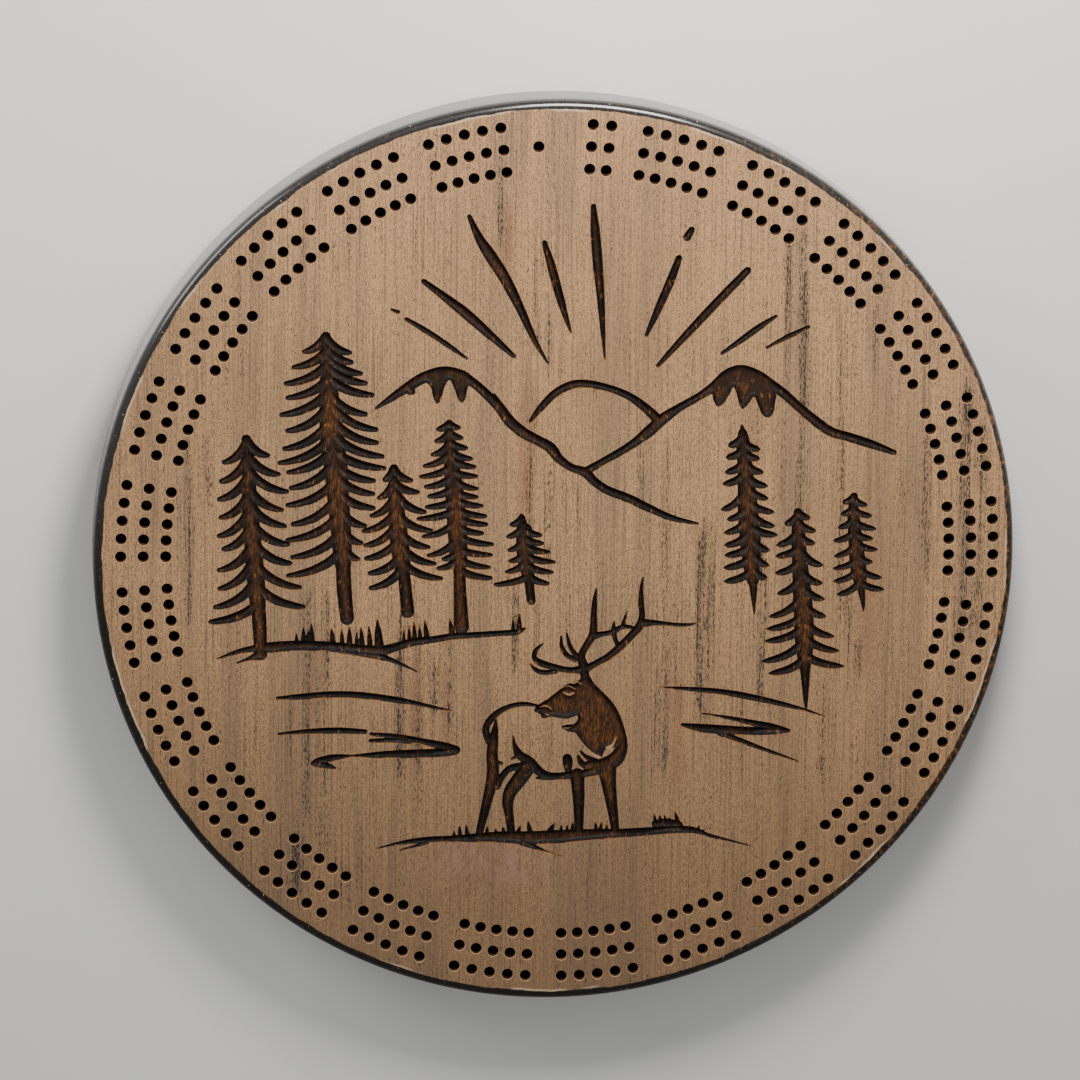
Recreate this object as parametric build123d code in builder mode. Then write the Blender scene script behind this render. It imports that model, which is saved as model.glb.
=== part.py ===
"""Round three-track cribbage board with a carved woodland scene.

The board lies face up on four screwed-on rubber feet. Its disc is edge-glued
from five staves whose grain runs along Y. Nine metal pegs lie in a pocket
routed in the back, behind a brass cover that swings on a shoulder screw and
hooks onto a keeper screw.

Millimetres. +Z is up, out of the playing face, +Y is the top of the carved
picture, and the origin is at table height under the middle of the disc.
"""

import os
from math import cos, hypot, radians, sin

from build123d import *

os.makedirs("parts", exist_ok=True)

# ---- the disc ----------------------------------------------------------
board_diameter = 304.8
board_thickness = 19.0
edge_round = 2.8
back_chamfer = 0.8
glue_lines = (-96.0, -33.5, 31.0, 85.0)

foot_height = 5.0
back_z = foot_height
face_z = back_z + board_thickness
board_radius = board_diameter / 2

# ---- the peg holes -----------------------------------------------------
hole_diameter = 3.6
hole_depth = 12.0
track_centre = (1.1, 0.1)
track_radii = (129.6, 137.0, 144.4)
places_per_turn = 150
first_place_angle = 3.95
start_places = (0, 1)
street_count = 24
holes_per_street = 5
places_per_street = 6
first_street_place = 3
finish_place = 147

# ---- the carving -------------------------------------------------------
carving_depth = 1.4
ray_width = 3.0
ridge_width = 3.0
ground_width = 3.0
elk_width = 2.6
blunt_end = 0.3

# ---- the peg pocket and its cover --------------------------------------
pocket_size = (52.0, 42.0)
pocket_corner = 3.2
pocket_depth = 11.0

plate_size = (62.0, 52.0)
plate_corner = 7.0
plate_thickness = 1.15
plate_top_z = back_z - 0.35
plate_tongue_radius = 8.0
pivot_at = (0.0, 31.0)
keeper_at = (0.0, -31.0)
running_clearance = 0.06
keeper_clearance = 0.4
keeper_slot_arc = 9.0

# ---- the screws --------------------------------------------------------
shoulder_radius = 2.0
keeper_radius = 1.75
thread_length = 9.0
head_height = 1.7
washer_radius = 4.6
washer_thickness = 0.5
spacer_thickness = 0.3
axial_play = 0.05

# ---- the feet ----------------------------------------------------------
foot_radius = 9.0
foot_draft = 0.8
foot_recess = (4.0, 2.9)
foot_screw_radius = 1.75
foot_screw_depth = 6.0
foot_ring_radius = 118.0
foot_angle = 40.0

# ---- the pegs ----------------------------------------------------------
peg_length = 32.0
peg_head_radius = 2.0
peg_shank_radius = 1.6
peg_tip_radius = 1.3
peg_pitch = 4.7
first_peg_x = -23.4
peg_axis_z = back_z + 2.05
peg_finishes = ("brass", "steel", "black")
pegs_per_player = 3


# ======================================================================
# Peg holes
# ======================================================================
def place(index, radius):
    """The point on a track at one of its equal places, counted clockwise from the top."""
    turn = radians(first_place_angle + index * 360 / places_per_turn)
    return (track_centre[0] + radius * sin(turn), track_centre[1] + radius * cos(turn))


def hole_centres():
    """Every peg hole: two start rows, twenty-four streets of five, and one finish hole."""
    rows = list(start_places)
    for street in range(street_count):
        first = first_street_place + street * places_per_street
        rows += range(first, first + holes_per_street)
    points = [place(index, radius) for index in rows for radius in track_radii]
    return points + [place(finish_place, track_radii[1])]


# ======================================================================
# Carved picture: each stroke is a tapered ribbon, each tree one outline
# ======================================================================
rays = [
    ((-44, 93), (-28, 80), (-13.8, 67)),
    ((-49.8, 80), (-40, 73.5), (-30, 66.8)),
    ((-29.4, 114), (-17, 91), (-4, 65.4)),
    ((-5, 105), (0.5, 89), (4.2, 75.4)),
    ((11.6, 117.6), (14.2, 90), (15.6, 66.4)),
    ((39.8, 100.4), (34.5, 87), (29.4, 74.2)),
    ((62.6, 96), (48, 81), (33.4, 63.6)),
    ((72.2, 80.4), (63, 74), (54.4, 68)),
    ((82.8, 76.4), (76, 73), (69.6, 69.8)),
]

ridges = [
    ((-59, 50.4), (-50, 56.5), (-43, 62), (-37, 63.6), (-30, 61.6), (-19, 52), (-12, 43.4),
     (-3, 37), (3, 31.6), (9, 28.6), (15, 24), (25, 19), (35, 14), (47, 10.4)),
    ((-8.4, 45.6), (-5.6, 50.6), (-1, 56), (4, 58.6), (12, 58.6), (22, 56), (28, 51.8),
     (32, 46.6)),
    ((9.4, 28.4), (17, 34), (25, 38.6), (32.5, 46.4), (45, 52), (53, 59.6), (61, 63.6),
     (68, 61.6), (76, 56), (83, 48.6), (91, 41.6), (101, 39), (112.6, 34)),
]

snow_caps = [
    ((-50, 56.6), (-43, 63), (-37, 64.2), (-30, 62), (-28.6, 56), (-30.6, 51.6), (-33.6, 57),
     (-37.6, 51.4), (-40.6, 56.8), (-45, 53.6)),
    ((50, 55.4), (55, 62.4), (61, 64.2), (68, 62), (70.6, 55), (69.6, 46.4), (66, 51),
     (62, 49), (60.4, 55.4), (54, 50), (54, 56)),
]

# apex, foot of the trunk, half width of the lowest branches, tiers, trunk width
trees = [
    ((-102.4, 40.6), (-97.0, -34.0), 16.5, 9, 4.6),
    ((-76.4, 75.6), (-68.8, -22.8), 19.0, 15, 5.0),
    ((-53.6, 30.6), (-48.4, -20.6), 13.0, 7, 4.0),
    ((-35.6, 45.4), (-30.6, -25.0), 13.5, 10, 4.2),
    ((-11.2, 14.4), (-7.4, -16.4), 9.0, 5, 3.0),
    ((61.2, 43.8), (65.8, -20.4), 9.5, 8, 3.0),
    ((80.4, 14.6), (84.0, -52.4), 12.0, 8, 3.2),
    ((98.6, 20.8), (102.2, -19.4), 8.5, 5, 2.8),
]

ground = [
    ((-112, -33.6), (-100, -30), (-84, -27.6), (-66, -29.6), (-52, -30), (-34, -27), (-10, -25.8)),
    ((-76, -28.6), (-62, -31.6), (-54, -34), (-46, -38.6)),
    ((-58.4, -99), (-40, -94.6), (-20, -94.4), (4, -95.6), (30, -93.6), (48, -94), (66, -99.8)),
    ((-28, -97), (-12, -98.6), (2.6, -102.6)),
]

ripples = [
    ((-91.6, -47.4), (-74, -46), (-52, -48), (-34.6, -52)),
    ((-91.4, -59.6), (-76, -58.6), (-62.4, -59.2)),
    ((-61, -60.4), (-48, -62), (-31.6, -65.6)),
    ((-80.6, -69.6), (-56, -67), (-36, -66.4)),
    ((35, -44.8), (58, -46.6), (90, -55)),
    ((43, -58), (58, -59), (78, -60.4)),
    ((49.6, -54.4), (62, -57), (78, -60.4)),
    ((53, -60), (64, -64), (81, -70.4)),
]

elk_strokes = [
    ((-6, -50.6), (-14, -50.2), (-20, -53.6), (-22.6, -60), (-21, -67), (-18.4, -73),
     (-20.6, -81), (-24.6, -94)),
    ((-8, -71), (-15, -76), (-17, -84), (-13.6, -94)),
    ((-14, -62), (-10.6, -68.6), (-3, -73), (5, -73.6), (12, -69.6)),
    ((6.4, -72), (9.4, -82), (8, -94)),
    ((16, -72), (19.6, -82), (21, -94)),
    ((10, -39.4), (0, -39), (-6, -38), (-8, -35), (-4.6, -30)),
    ((10, -39), (17, -34.4), (25, -29), (30, -22), (28.6, -8)),
    ((30, -22.4), (38, -22.8), (48, -23.6)),
    ((10.4, -38), (11.6, -28), (12.4, -11)),
    ((8, -37.6), (4.6, -33), (2.6, -26)),
]

elk_neck = ((11, -41), (17, -46), (22.6, -54), (24, -63), (21, -69), (12, -69), (7, -64),
            (2.4, -59), (-8.6, -52), (-5, -48), (2, -43))


def ribbon(points, width):
    """Draw a stroke's closed outline: two curves, joined by its narrow blunt ends."""
    left = []
    right = []
    last = len(points) - 1
    for index, here in enumerate(points):
        before = points[max(index - 1, 0)]
        after = points[min(index + 1, last)]
        along_x = after[0] - before[0]
        along_y = after[1] - before[1]
        share = blunt_end if index in (0, last) else 1
        half = share * width / 2 / hypot(along_x, along_y)
        left.append((here[0] - along_y * half, here[1] + along_x * half))
        right.append((here[0] + along_y * half, here[1] - along_x * half))
    Spline(*left)
    Line(left[-1], right[-1])
    Spline(*reversed(right))
    Line(right[0], left[0])


def tree_side(apex, foot, half_width, tiers, trunk_width, side):
    """One side of a conifer from just below its apex to its foot: a tip and a notch per tier."""
    skirt = 0.8
    droop = 3.0
    points = []
    for tier in range(1, tiers + 1):
        down = skirt * tier / tiers
        middle_x = apex[0] + (foot[0] - apex[0]) * down
        middle_y = apex[1] + (foot[1] - apex[1]) * down
        reach = half_width * (0.3 + 0.7 * (tier / tiers) ** 0.7)
        points.append((middle_x + side * reach, middle_y - droop))
        points.append((middle_x + side * trunk_width / 2, middle_y))
    points.append((foot[0] + side * trunk_width / 2, foot[1]))
    return points


def tree_outline(apex, foot, half_width, tiers, trunk_width):
    """A conifer's saw-toothed outline, down one side and up the other."""
    left = tree_side(apex, foot, half_width, tiers, trunk_width, -1)
    right = tree_side(apex, foot, half_width, tiers, trunk_width, 1)
    return [apex, *right, *reversed(left)]


with BuildSketch(Plane.XY.offset(face_z)) as picture:
    for strokes, width in (
        (rays, ray_width),
        (ridges, ridge_width),
        (ground, ground_width),
        (ripples, ray_width / 2),
        (elk_strokes, elk_width),
    ):
        for stroke in strokes:
            with BuildLine():
                ribbon(stroke, width)
            make_face()
    for outline in (*snow_caps, elk_neck, *(tree_outline(*tree) for tree in trees)):
        with BuildLine():
            Polyline(*outline, close=True)
        make_face()


# ======================================================================
# The disc and its five staves
# ======================================================================
with BuildPart() as disc:
    with BuildSketch(Plane.XY.offset(back_z)):
        Circle(board_radius)
    extrude(amount=board_thickness)
    rim_edges = disc.edges().filter_by(GeomType.CIRCLE).sort_by(Axis.Z)
    fillet(rim_edges[-1], edge_round)
    chamfer(rim_edges[0], back_chamfer)

foot_places = [
    (side_x * foot_ring_radius * cos(radians(foot_angle)),
     side_y * foot_ring_radius * sin(radians(foot_angle)))
    for side_y in (-1, 1)
    for side_x in (-1, 1)
]

# every pilot hole in the back: its place, radius and depth
pilots = [(point, foot_screw_radius, foot_screw_depth) for point in foot_places]
pilots.append((pivot_at, shoulder_radius, thread_length))
pilots.append((keeper_at, keeper_radius, thread_length))

stave_edges = (-board_radius, *glue_lines, board_radius)
staves = []
for low_x, high_x in zip(stave_edges, stave_edges[1:]):
    with BuildPart() as stave:
        add(disc.part)
        with BuildSketch(Plane.XY):
            with Locations(((low_x + high_x) / 2, 0)):
                Rectangle(high_x - low_x, board_diameter)
        extrude(amount=face_z, mode=Mode.INTERSECT)
        with BuildSketch(Plane.XY.offset(face_z)):
            with Locations(*[p for p in hole_centres() if low_x < p[0] < high_x]):
                Circle(hole_diameter / 2)
        extrude(amount=-hole_depth, mode=Mode.SUBTRACT)
        with BuildSketch(Plane.XY.offset(face_z)):
            add(picture.sketch)
            with Locations(((low_x + high_x) / 2, 0)):
                Rectangle(high_x - low_x, board_diameter, mode=Mode.INTERSECT)
        extrude(amount=-carving_depth, mode=Mode.SUBTRACT)
        if low_x < 0 < high_x:
            with BuildSketch(Plane.XY.offset(back_z)):
                RectangleRounded(*pocket_size, pocket_corner)
            extrude(amount=pocket_depth, mode=Mode.SUBTRACT)
        for point, radius, depth in pilots:
            if low_x < point[0] < high_x:
                with BuildSketch(Plane.XY.offset(back_z)):
                    with Locations(point):
                        Circle(radius)
                extrude(amount=depth, mode=Mode.SUBTRACT)
    staves.append(stave.part)

for name, shape in zip(("left", "mid_left", "centre", "mid_right", "right"), staves):
    shape.label = f"stave_{name}"
    export_step(shape, f"parts/{shape.label}.step")


# ======================================================================
# Feet and their screws
# ======================================================================
def screw(point, top_z, under_head_z, shank_radius, head_radius):
    """A pan-head screw, head down: a domed head with a cross recess, and a pointed shank."""
    head_z = under_head_z - head_height
    tip = shank_radius * 0.9
    recess_depth = 0.9
    with BuildPart() as body:
        with BuildSketch(Plane.XZ):
            with BuildLine():
                Line((0, head_z), (head_radius * 0.6, head_z))
                RadiusArc(
                    (head_radius * 0.6, head_z), (head_radius, under_head_z - 0.5), -head_radius * 0.6
                )
                Line((head_radius, under_head_z - 0.5), (head_radius, under_head_z))
                Line((head_radius, under_head_z), (shank_radius, under_head_z))
                Line((shank_radius, under_head_z), (shank_radius, top_z - tip))
                Line((shank_radius, top_z - tip), (0, top_z))
                Line((0, top_z), (0, head_z))
            make_face()
        revolve(axis=Axis.Z)
        with BuildSketch(Plane.XY.offset(head_z)):
            Rectangle(head_radius, 0.8)
            Rectangle(0.8, head_radius)
        extrude(amount=recess_depth, mode=Mode.SUBTRACT)
    return body.part.moved(Location((point[0], point[1], 0)))


foot_names = ("foot_front_left", "foot_front_right", "foot_rear_left", "foot_rear_right")
recess_radius, recess_height = foot_recess
for name, point in zip(foot_names, foot_places):
    with BuildPart() as foot:
        with BuildSketch(Plane.XZ):
            with BuildLine():
                Polyline(
                    (foot_screw_radius, foot_height),
                    (foot_radius, foot_height),
                    (foot_radius - foot_draft, 1),
                    (foot_radius - foot_draft - 1, 0),
                    (recess_radius, 0),
                    (recess_radius, recess_height),
                    (foot_screw_radius, recess_height),
                    close=True,
                )
            make_face()
        revolve(axis=Axis.Z)
    placed = foot.part.moved(Location((point[0], point[1], 0)))
    placed.label = name
    export_step(placed, f"parts/{name}.step")

foot_screws = Compound(
    children=[
        screw(point, back_z + foot_screw_depth, recess_height, foot_screw_radius, 3.4)
        for point in foot_places
    ]
)
foot_screws.label = "foot_screws"
export_step(foot_screws, "parts/foot_screws.step")


# ======================================================================
# The cover, its pivot and its keeper
# ======================================================================
plate_bottom_z = plate_top_z - plate_thickness
keeper_distance = pivot_at[1] - keeper_at[1]

with BuildPart() as cover_plate:
    with BuildSketch(Plane.XY.offset(plate_bottom_z)) as plate_outline:
        RectangleRounded(*plate_size, plate_corner)
        for tongue_at in (pivot_at, keeper_at):
            with Locations(tongue_at):
                Circle(plate_tongue_radius)
        inner = [
            vertex
            for vertex in plate_outline.vertices()
            if abs(abs(vertex.Y) - plate_size[1] / 2) < 0.01 and abs(vertex.X) < plate_tongue_radius
        ]
        fillet(inner, 4.0)
        with Locations(pivot_at):
            Circle(shoulder_radius + running_clearance, mode=Mode.SUBTRACT)
        with BuildLine(mode=Mode.PRIVATE) as slot_path:
            CenterArc(pivot_at, keeper_distance, 270 - keeper_slot_arc, keeper_slot_arc)
        SlotArc(slot_path.edge(), 2 * (keeper_radius + keeper_clearance), mode=Mode.SUBTRACT)
    extrude(amount=plate_thickness)
    chamfer(cover_plate.faces().sort_by(Axis.Z)[0].outer_wire().edges(), 0.25)
cover_plate.part.label = "cover_plate"
export_step(cover_plate.part, "parts/cover_plate.step")

with BuildPart() as pivot_spacer:
    with BuildSketch(Plane.XY.offset(back_z - spacer_thickness)):
        with Locations(pivot_at):
            Circle(washer_radius)
            Circle(shoulder_radius, mode=Mode.SUBTRACT)
    extrude(amount=spacer_thickness)
pivot_spacer.part.label = "pivot_spacer"
export_step(pivot_spacer.part, "parts/pivot_spacer.step")

washer_bottom_z = plate_bottom_z - axial_play - washer_thickness
with BuildPart() as pivot_washer:
    with BuildSketch(Plane.XY.offset(washer_bottom_z)):
        with Locations(pivot_at):
            Circle(washer_radius)
            Circle(shoulder_radius, mode=Mode.SUBTRACT)
    extrude(amount=washer_thickness)
pivot_washer.part.label = "pivot_washer"
export_step(pivot_washer.part, "parts/pivot_washer.step")

pivot_screw = screw(pivot_at, back_z + thread_length, washer_bottom_z, shoulder_radius, 3.8)
pivot_screw.label = "pivot_screw"
export_step(pivot_screw, "parts/pivot_screw.step")

keeper_screw = screw(
    keeper_at, back_z + thread_length, plate_bottom_z - 2 * axial_play, keeper_radius, 3.6
)
keeper_screw.label = "keeper_screw"
export_step(keeper_screw, "parts/keeper_screw.step")


# ======================================================================
# Pegs: three for each of three players, side by side in the pocket
# ======================================================================
def peg_profile():
    """Draw half of a turned peg, from its rounded tip up to its domed, grooved head."""
    collar = peg_length * 0.62
    groove = 0.35
    RadiusArc((0, 0), (peg_tip_radius, peg_tip_radius), -peg_tip_radius)
    Line((peg_tip_radius, peg_tip_radius), (peg_shank_radius, collar - 1))
    Line((peg_shank_radius, collar - 1), (peg_head_radius, collar - 0.4))
    Polyline(
        (peg_head_radius, collar - 0.4),
        (peg_head_radius, collar + 1),
        (peg_head_radius - groove, collar + 1.5),
        (peg_head_radius - groove, collar + 2.5),
        (peg_head_radius, collar + 3),
        (peg_head_radius, peg_length - 3.5),
        (peg_head_radius - groove, peg_length - 3),
        (peg_head_radius - groove, peg_length - 2.4),
        (peg_head_radius, peg_length - 2),
    )
    RadiusArc((peg_head_radius, peg_length - 2), (0, peg_length), -peg_head_radius)
    Line((0, peg_length), (0, 0))


for number in range(len(peg_finishes) * pegs_per_player):
    name = f"peg_{peg_finishes[number // pegs_per_player]}_{number % pegs_per_player + 1}"
    with BuildPart() as peg:
        with BuildSketch(Plane.XY):
            with BuildLine():
                peg_profile()
            make_face()
        revolve(axis=Axis.Y)
    where = (first_peg_x + number * peg_pitch, -peg_length / 2, peg_axis_z)
    lying = peg.part.moved(Location(where))
    lying.label = name
    export_step(lying, f"parts/{name}.step")
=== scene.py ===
"""The looks of a round cribbage board with a carved woodland scene.

The five wooden staves are rebuilt as detailed meshes: the picture is carved into
their faces as rounded grooves, the peg holes are drilled, and the rim is rounded
over. The metal and rubber pieces keep their CAD shapes and get finished materials.

Shapes are worked out in millimetres in the board's frame (+Y is the top of the
picture, z = 0 is the table) and turned into metres when a mesh is made.
"""

from math import atan2, cos, pi, radians, sin, sqrt

import bpy
import numpy as np
from mathutils import Matrix, Vector
from mathutils.geometry import delaunay_2d_cdt


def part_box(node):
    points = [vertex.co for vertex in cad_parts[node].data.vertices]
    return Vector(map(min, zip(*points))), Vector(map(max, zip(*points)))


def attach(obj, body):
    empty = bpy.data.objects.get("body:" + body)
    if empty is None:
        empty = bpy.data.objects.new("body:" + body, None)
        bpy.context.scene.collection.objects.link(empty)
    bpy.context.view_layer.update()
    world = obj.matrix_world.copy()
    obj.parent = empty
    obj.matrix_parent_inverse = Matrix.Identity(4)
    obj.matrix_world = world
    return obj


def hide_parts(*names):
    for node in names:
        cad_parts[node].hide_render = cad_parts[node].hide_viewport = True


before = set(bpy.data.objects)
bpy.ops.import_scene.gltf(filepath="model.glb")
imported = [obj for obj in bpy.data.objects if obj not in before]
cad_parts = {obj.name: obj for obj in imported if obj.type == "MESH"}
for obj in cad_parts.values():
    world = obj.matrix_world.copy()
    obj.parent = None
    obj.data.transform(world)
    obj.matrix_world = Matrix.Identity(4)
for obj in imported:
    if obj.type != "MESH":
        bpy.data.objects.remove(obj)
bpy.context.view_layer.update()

MM = 0.001

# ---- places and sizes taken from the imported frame, in millimetres ----
STAVES = ("stave_left", "stave_mid_left", "stave_centre", "stave_mid_right", "stave_right")
STAVE_BOXES = [[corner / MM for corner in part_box(name)] for name in STAVES]
BACK = round(STAVE_BOXES[0][0].z, 2)
FACE = round(STAVE_BOXES[0][1].z, 2)
# a hair inside the CAD, so that the mesh stays in its box
RADIUS = min(-STAVE_BOXES[0][0].x, STAVE_BOXES[-1][1].x) - 0.01
SEAMS = [round(low.x, 2) for low, high in STAVE_BOXES[1:]]

# ---- rim, holes and pocket, as the CAD has them ----
EDGE_ROUND = 2.8
EDGE_STEPS = 7
BACK_CHAMFER = 0.8
HOLE_RADIUS = 1.8
HOLE_DEPTH = 12.0
HOLE_WEAR = 0.2
# a hole's worn mouth, as shares of the wear (outwards, down), and its drill point's height
# as a share of the radius
MOUTH_PROFILE = ((1, 0), (0.5, 0.65), (0, 1.6))
DRILL_POINT = 0.4
TRACK_CENTRE = (1.1, 0.1)
TRACK_RADII = (129.6, 137.0, 144.4)
PLACES_PER_TURN = 150
FIRST_PLACE_ANGLE = 3.95
START_PLACES, FIRST_STREET_PLACE, FINISH_PLACE = (0, 1), 3, 147
STREETS, HOLES_PER_STREET, PLACES_PER_STREET = 24, 5, 6
POCKET_HALF, POCKET_CORNER, POCKET_DEPTH = (26.0, 21.0), 3.2, 11.0
POCKET_INNER = tuple(half - POCKET_CORNER for half in POCKET_HALF)
FOOT_CIRCLE, FOOT_ANGLE = 118, 40  # radius, and degrees from the x axis
# pilot holes in the back, as (x, y, radius, depth): pivot, keeper and four feet
PILOTS = (
    (0.0, 31.0, 2.0, 9.0),
    (0.0, -31.0, 1.75, 9.0),
    *(
        (side_x * FOOT_CIRCLE * cos(radians(FOOT_ANGLE)),
         side_y * FOOT_CIRCLE * sin(radians(FOOT_ANGLE)), 1.75, 6.0)
        for side_x in (-1, 1)
        for side_y in (-1, 1)
    ),
)

# ---- how the carving is cut ----
CELL = 0.25            # spacing of the grids that hold the carving
STEP = 0.3             # spacing of the cuts along a stroke
WALL = 1.5             # width of a wall, from the edge to the floor
DEPTH_PER_WALL = 1.15  # depth of the floor, as a share of the wall's width
CORE_DEPTH = 0.62      # share of the full depth in the solid middle of a tree
RIDGE_HEIGHT = 0.7     # share of the depth that a ridge takes up
MARGIN = 0.9           # how far outside an edge its distance is still worked out
LEFT, RIGHT, BOTTOM, TOP = -118.0, 118.0, -108.0, 122.0

# ---- how closely the meshes are divided ----
HOLE_SIDES = 28
CORNER_STEPS = 8
RIM_STEP = 1.2
FLOOR_POINTS = 0.42
FLOOR_ROWS = 0.87      # spacing of the rows, as a share of that of the points
FLOOR_CLEAR = 0.16     # how far the floor's points stay from the edge
FACE_POINTS = (1.2, 6.0)
FACE_CLEAR = 0.6       # how far the flat face's points stay from the carving
RIM_CLEAR = 1.5        # how far they stay from the rounded edge
SEAM_CLEAR = 0.1       # how far the floor's points stay from a glue line
EDGE_CLEAR = 0.02      # points nearer to the carving's edge than this are on it
SEAM_STEP, SEAM_COARSE = 0.35, 12
SLACK, TINY = 1e-3, 1e-6


# ---- the picture, drawn as strokes ----
def table(text, width=3):
    """Arrays with so many numbers to a row, from a text with a slash between the arrays."""
    numbers = " ".join(line.split("#")[0] for line in text.splitlines())
    return [np.array(part.split(), float).reshape(-1, width) for part in numbers.split("/")]


# the points of each stroke, as x, y and half width
RAYS = table("""
-54.4 83.2 .54  -52.4 82.4 .78 /
-49.6 80 .78  -43 76 1.01  -36 71.3 .89  -29.8 66.8 .49 /
-44 92.6 .89  -38 88 1.36  -30 81.6 1.82  -22 74.4 1.47  -14.2 67.4 .78 /
-29.2 114 .78  -26 107 1.47  -22 100.6 2.05  -17 92.6 1.94  -12 82.6 1.47  -7.4 72.4 1.01
-3.2 65.2 .37 /
-4.6 105.2 .89  -2.4 98 1.47  .2 88.6 1.47  2.6 80.6 1.01  4.4 75.2 .43 /
11.4 117.2 .89  12 109 1.59  13.1 97 1.7  14.2 85 1.24  15 74 .78  15.6 66.4 .37 /
43.6 109.2 1.12  42.2 106.8 1.36 /
39.6 99.8 1.12  36.8 92 1.47  33.4 83.8 1.36  29.2 74.2 .66 /
62.2 95.6 1.24  56 89 1.47  48 80.4 1.47  40 71.6 1.24  33.2 64 .78 /
71.8 80.2 .66  66 76.4 1.12  60 72 1.01  54.2 68 .6 /
82.6 76.6 .66  76 73.4 .95  69 69.8 .49
""")

MOUNTAINS = table("""
-59.4 50.4 .5  -54 54 1.3  -49 57.4 1.7  -44 60.4 1.9  -38 62.3 1.9  -33 61.6 1.9  -28 59 1.6
-22.6 54.2 1.6  -19 50.4 1.8  -15.6 45.8 1.9  -11 41.8 1.9  -6 39 1.8  -2 36.6 1.9  1 32.8 1.6
5 29.9 1.4  9.6 28.2 1.7  12.6 25.2 1.5  17 22.2 1.5  24 19.4 1.5  30 16.4 1.4  38 12.8 1.1
47 10.6 .5 /
-20.6 54.6 .5  -18.8 51.6 .9 /
8.8 28.2 1.4  17 32.8 1.3  25 37.6 1.5  31 42.4 2  35.4 46.4 1.9  41 50.2 1.4  47 53.6 1.4
52 57 1.8  56 60.6 2  60.6 62.3 1.8  66 60.4 1.9  71 57 1.8  75 54.2 1.6  80 49.6 1.6  86 44.6 1.7
91 41.2 1.7  97 39.4 1.6  104 37.1 1.5  111.8 34.2 .9 /
-8.7 45.6 .7  -5.4 50 1.2  -1 54.6 1.4  4 57.4 1.5  9 58.1 1.4  16 56.8 1.3  23 54.2 1.3
28 50.8 1.5  31.4 47.8 1.7  33.4 45.6 1.9 /
-48.4 56.6 1  -47.6 55.8 1.1
""")

GROUND = table("""
-111.6 -33.8 .35  -106 -31.8 .8  -100.6 -30.6 1.2  -94 -30.1 1.9  -86 -29.5 1.7  -80 -29.6 1.7
-72 -30 1.5  -64 -31 1.6  -58 -31.6 1.8  -53 -30.4 1.5  -47 -28.8 1.4  -40 -27.8 1.2  -34 -27 1.2
-20 -26.1 1  -12.4 -25.6 1  -10 -24.4 .5 /
-105 -35.2 .4  -101 -33.8 .8  -97.2 -32.6 2 /
-76 -30.9 .5  -66 -32.4 .8  -58 -33.6 1.2  -55 -34.4 .9  -50 -36.6 .55  -45.6 -38.8 .25 /
-58.6 -99.2 .25  -50 -97.3 .7  -42 -96.5 1.1  -34 -96.2 1.1  -26 -96 1.5  -18 -95.8 1.9
-8 -96.2 2.3  2 -95.9 2.3  12 -95.4 2  22 -95 1.6  32 -94.4 1.4  40 -93.9 1.4  47 -94.2 1.1
52 -96 .7  58 -97.6 .45  66 -99.8 .2 /
-51 -99.9 .25  -46 -98.6 .5  -42 -97.4 .7 /
-10 -97.6 1.4  -6.6 -99.2 .9  -2 -101 .4  3.2 -102.7 .2 /
34 -91.8 1.1  38 -91.8 1.7  42 -92.4 1.4
""")

RIPPLES = table("""
-91.8 -47.4 .66  -84 -46.9 1.01  -74 -46.3 1.18  -64 -46.7 1.18  -52 -48.4 1.07  -44 -50.1 .78
-34.2 -52.3 .37 /
-91.4 -59.6 .49  -82 -58.9 .95  -72 -58.6 1.07  -62.8 -59.1 .89 /
-60.8 -59.9 .6  -52 -61 1.01  -44 -62.6 1.12  -36.6 -64.4 1.47  -32.6 -65.8 1.59 /
-61 -62.2 .66  -54 -62.2 .89  -48 -62.6 .89 /
-67 -67.4 .49  -56 -67 1.24  -46 -66.8 1.47  -38 -66.6 1.47  -32.8 -66 1.47 /
-67.4 -67.4 .49  -73 -67.8 1.12  -78 -69 1.24  -80 -69.9 .89 /
-79.4 -70.1 .89  -76 -70.4 1.12  -72.8 -71.4 .49 /
35.2 -44.9 .31  46 -45.7 .78  56 -46.8 1.07  66 -48.7 1.12  76 -51.1 .89  84 -53.3 .54
90.6 -55.7 .31 /
49.4 -54.1 .31  58 -55.6 .66  66 -57.4 1.01  72 -59 1.47  77.6 -60.3 1.01 /
42.8 -57.9 .66  48 -58.9 1.36  56 -59.7 1.59  64 -60.2 1.47  72 -60.3 1.36  78.4 -60.3 .66 /
55.4 -60.9 1.01  62 -63.4 .95  70 -66.5 .66  78 -69.5 .49  81.6 -70.9 .31
""")

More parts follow.
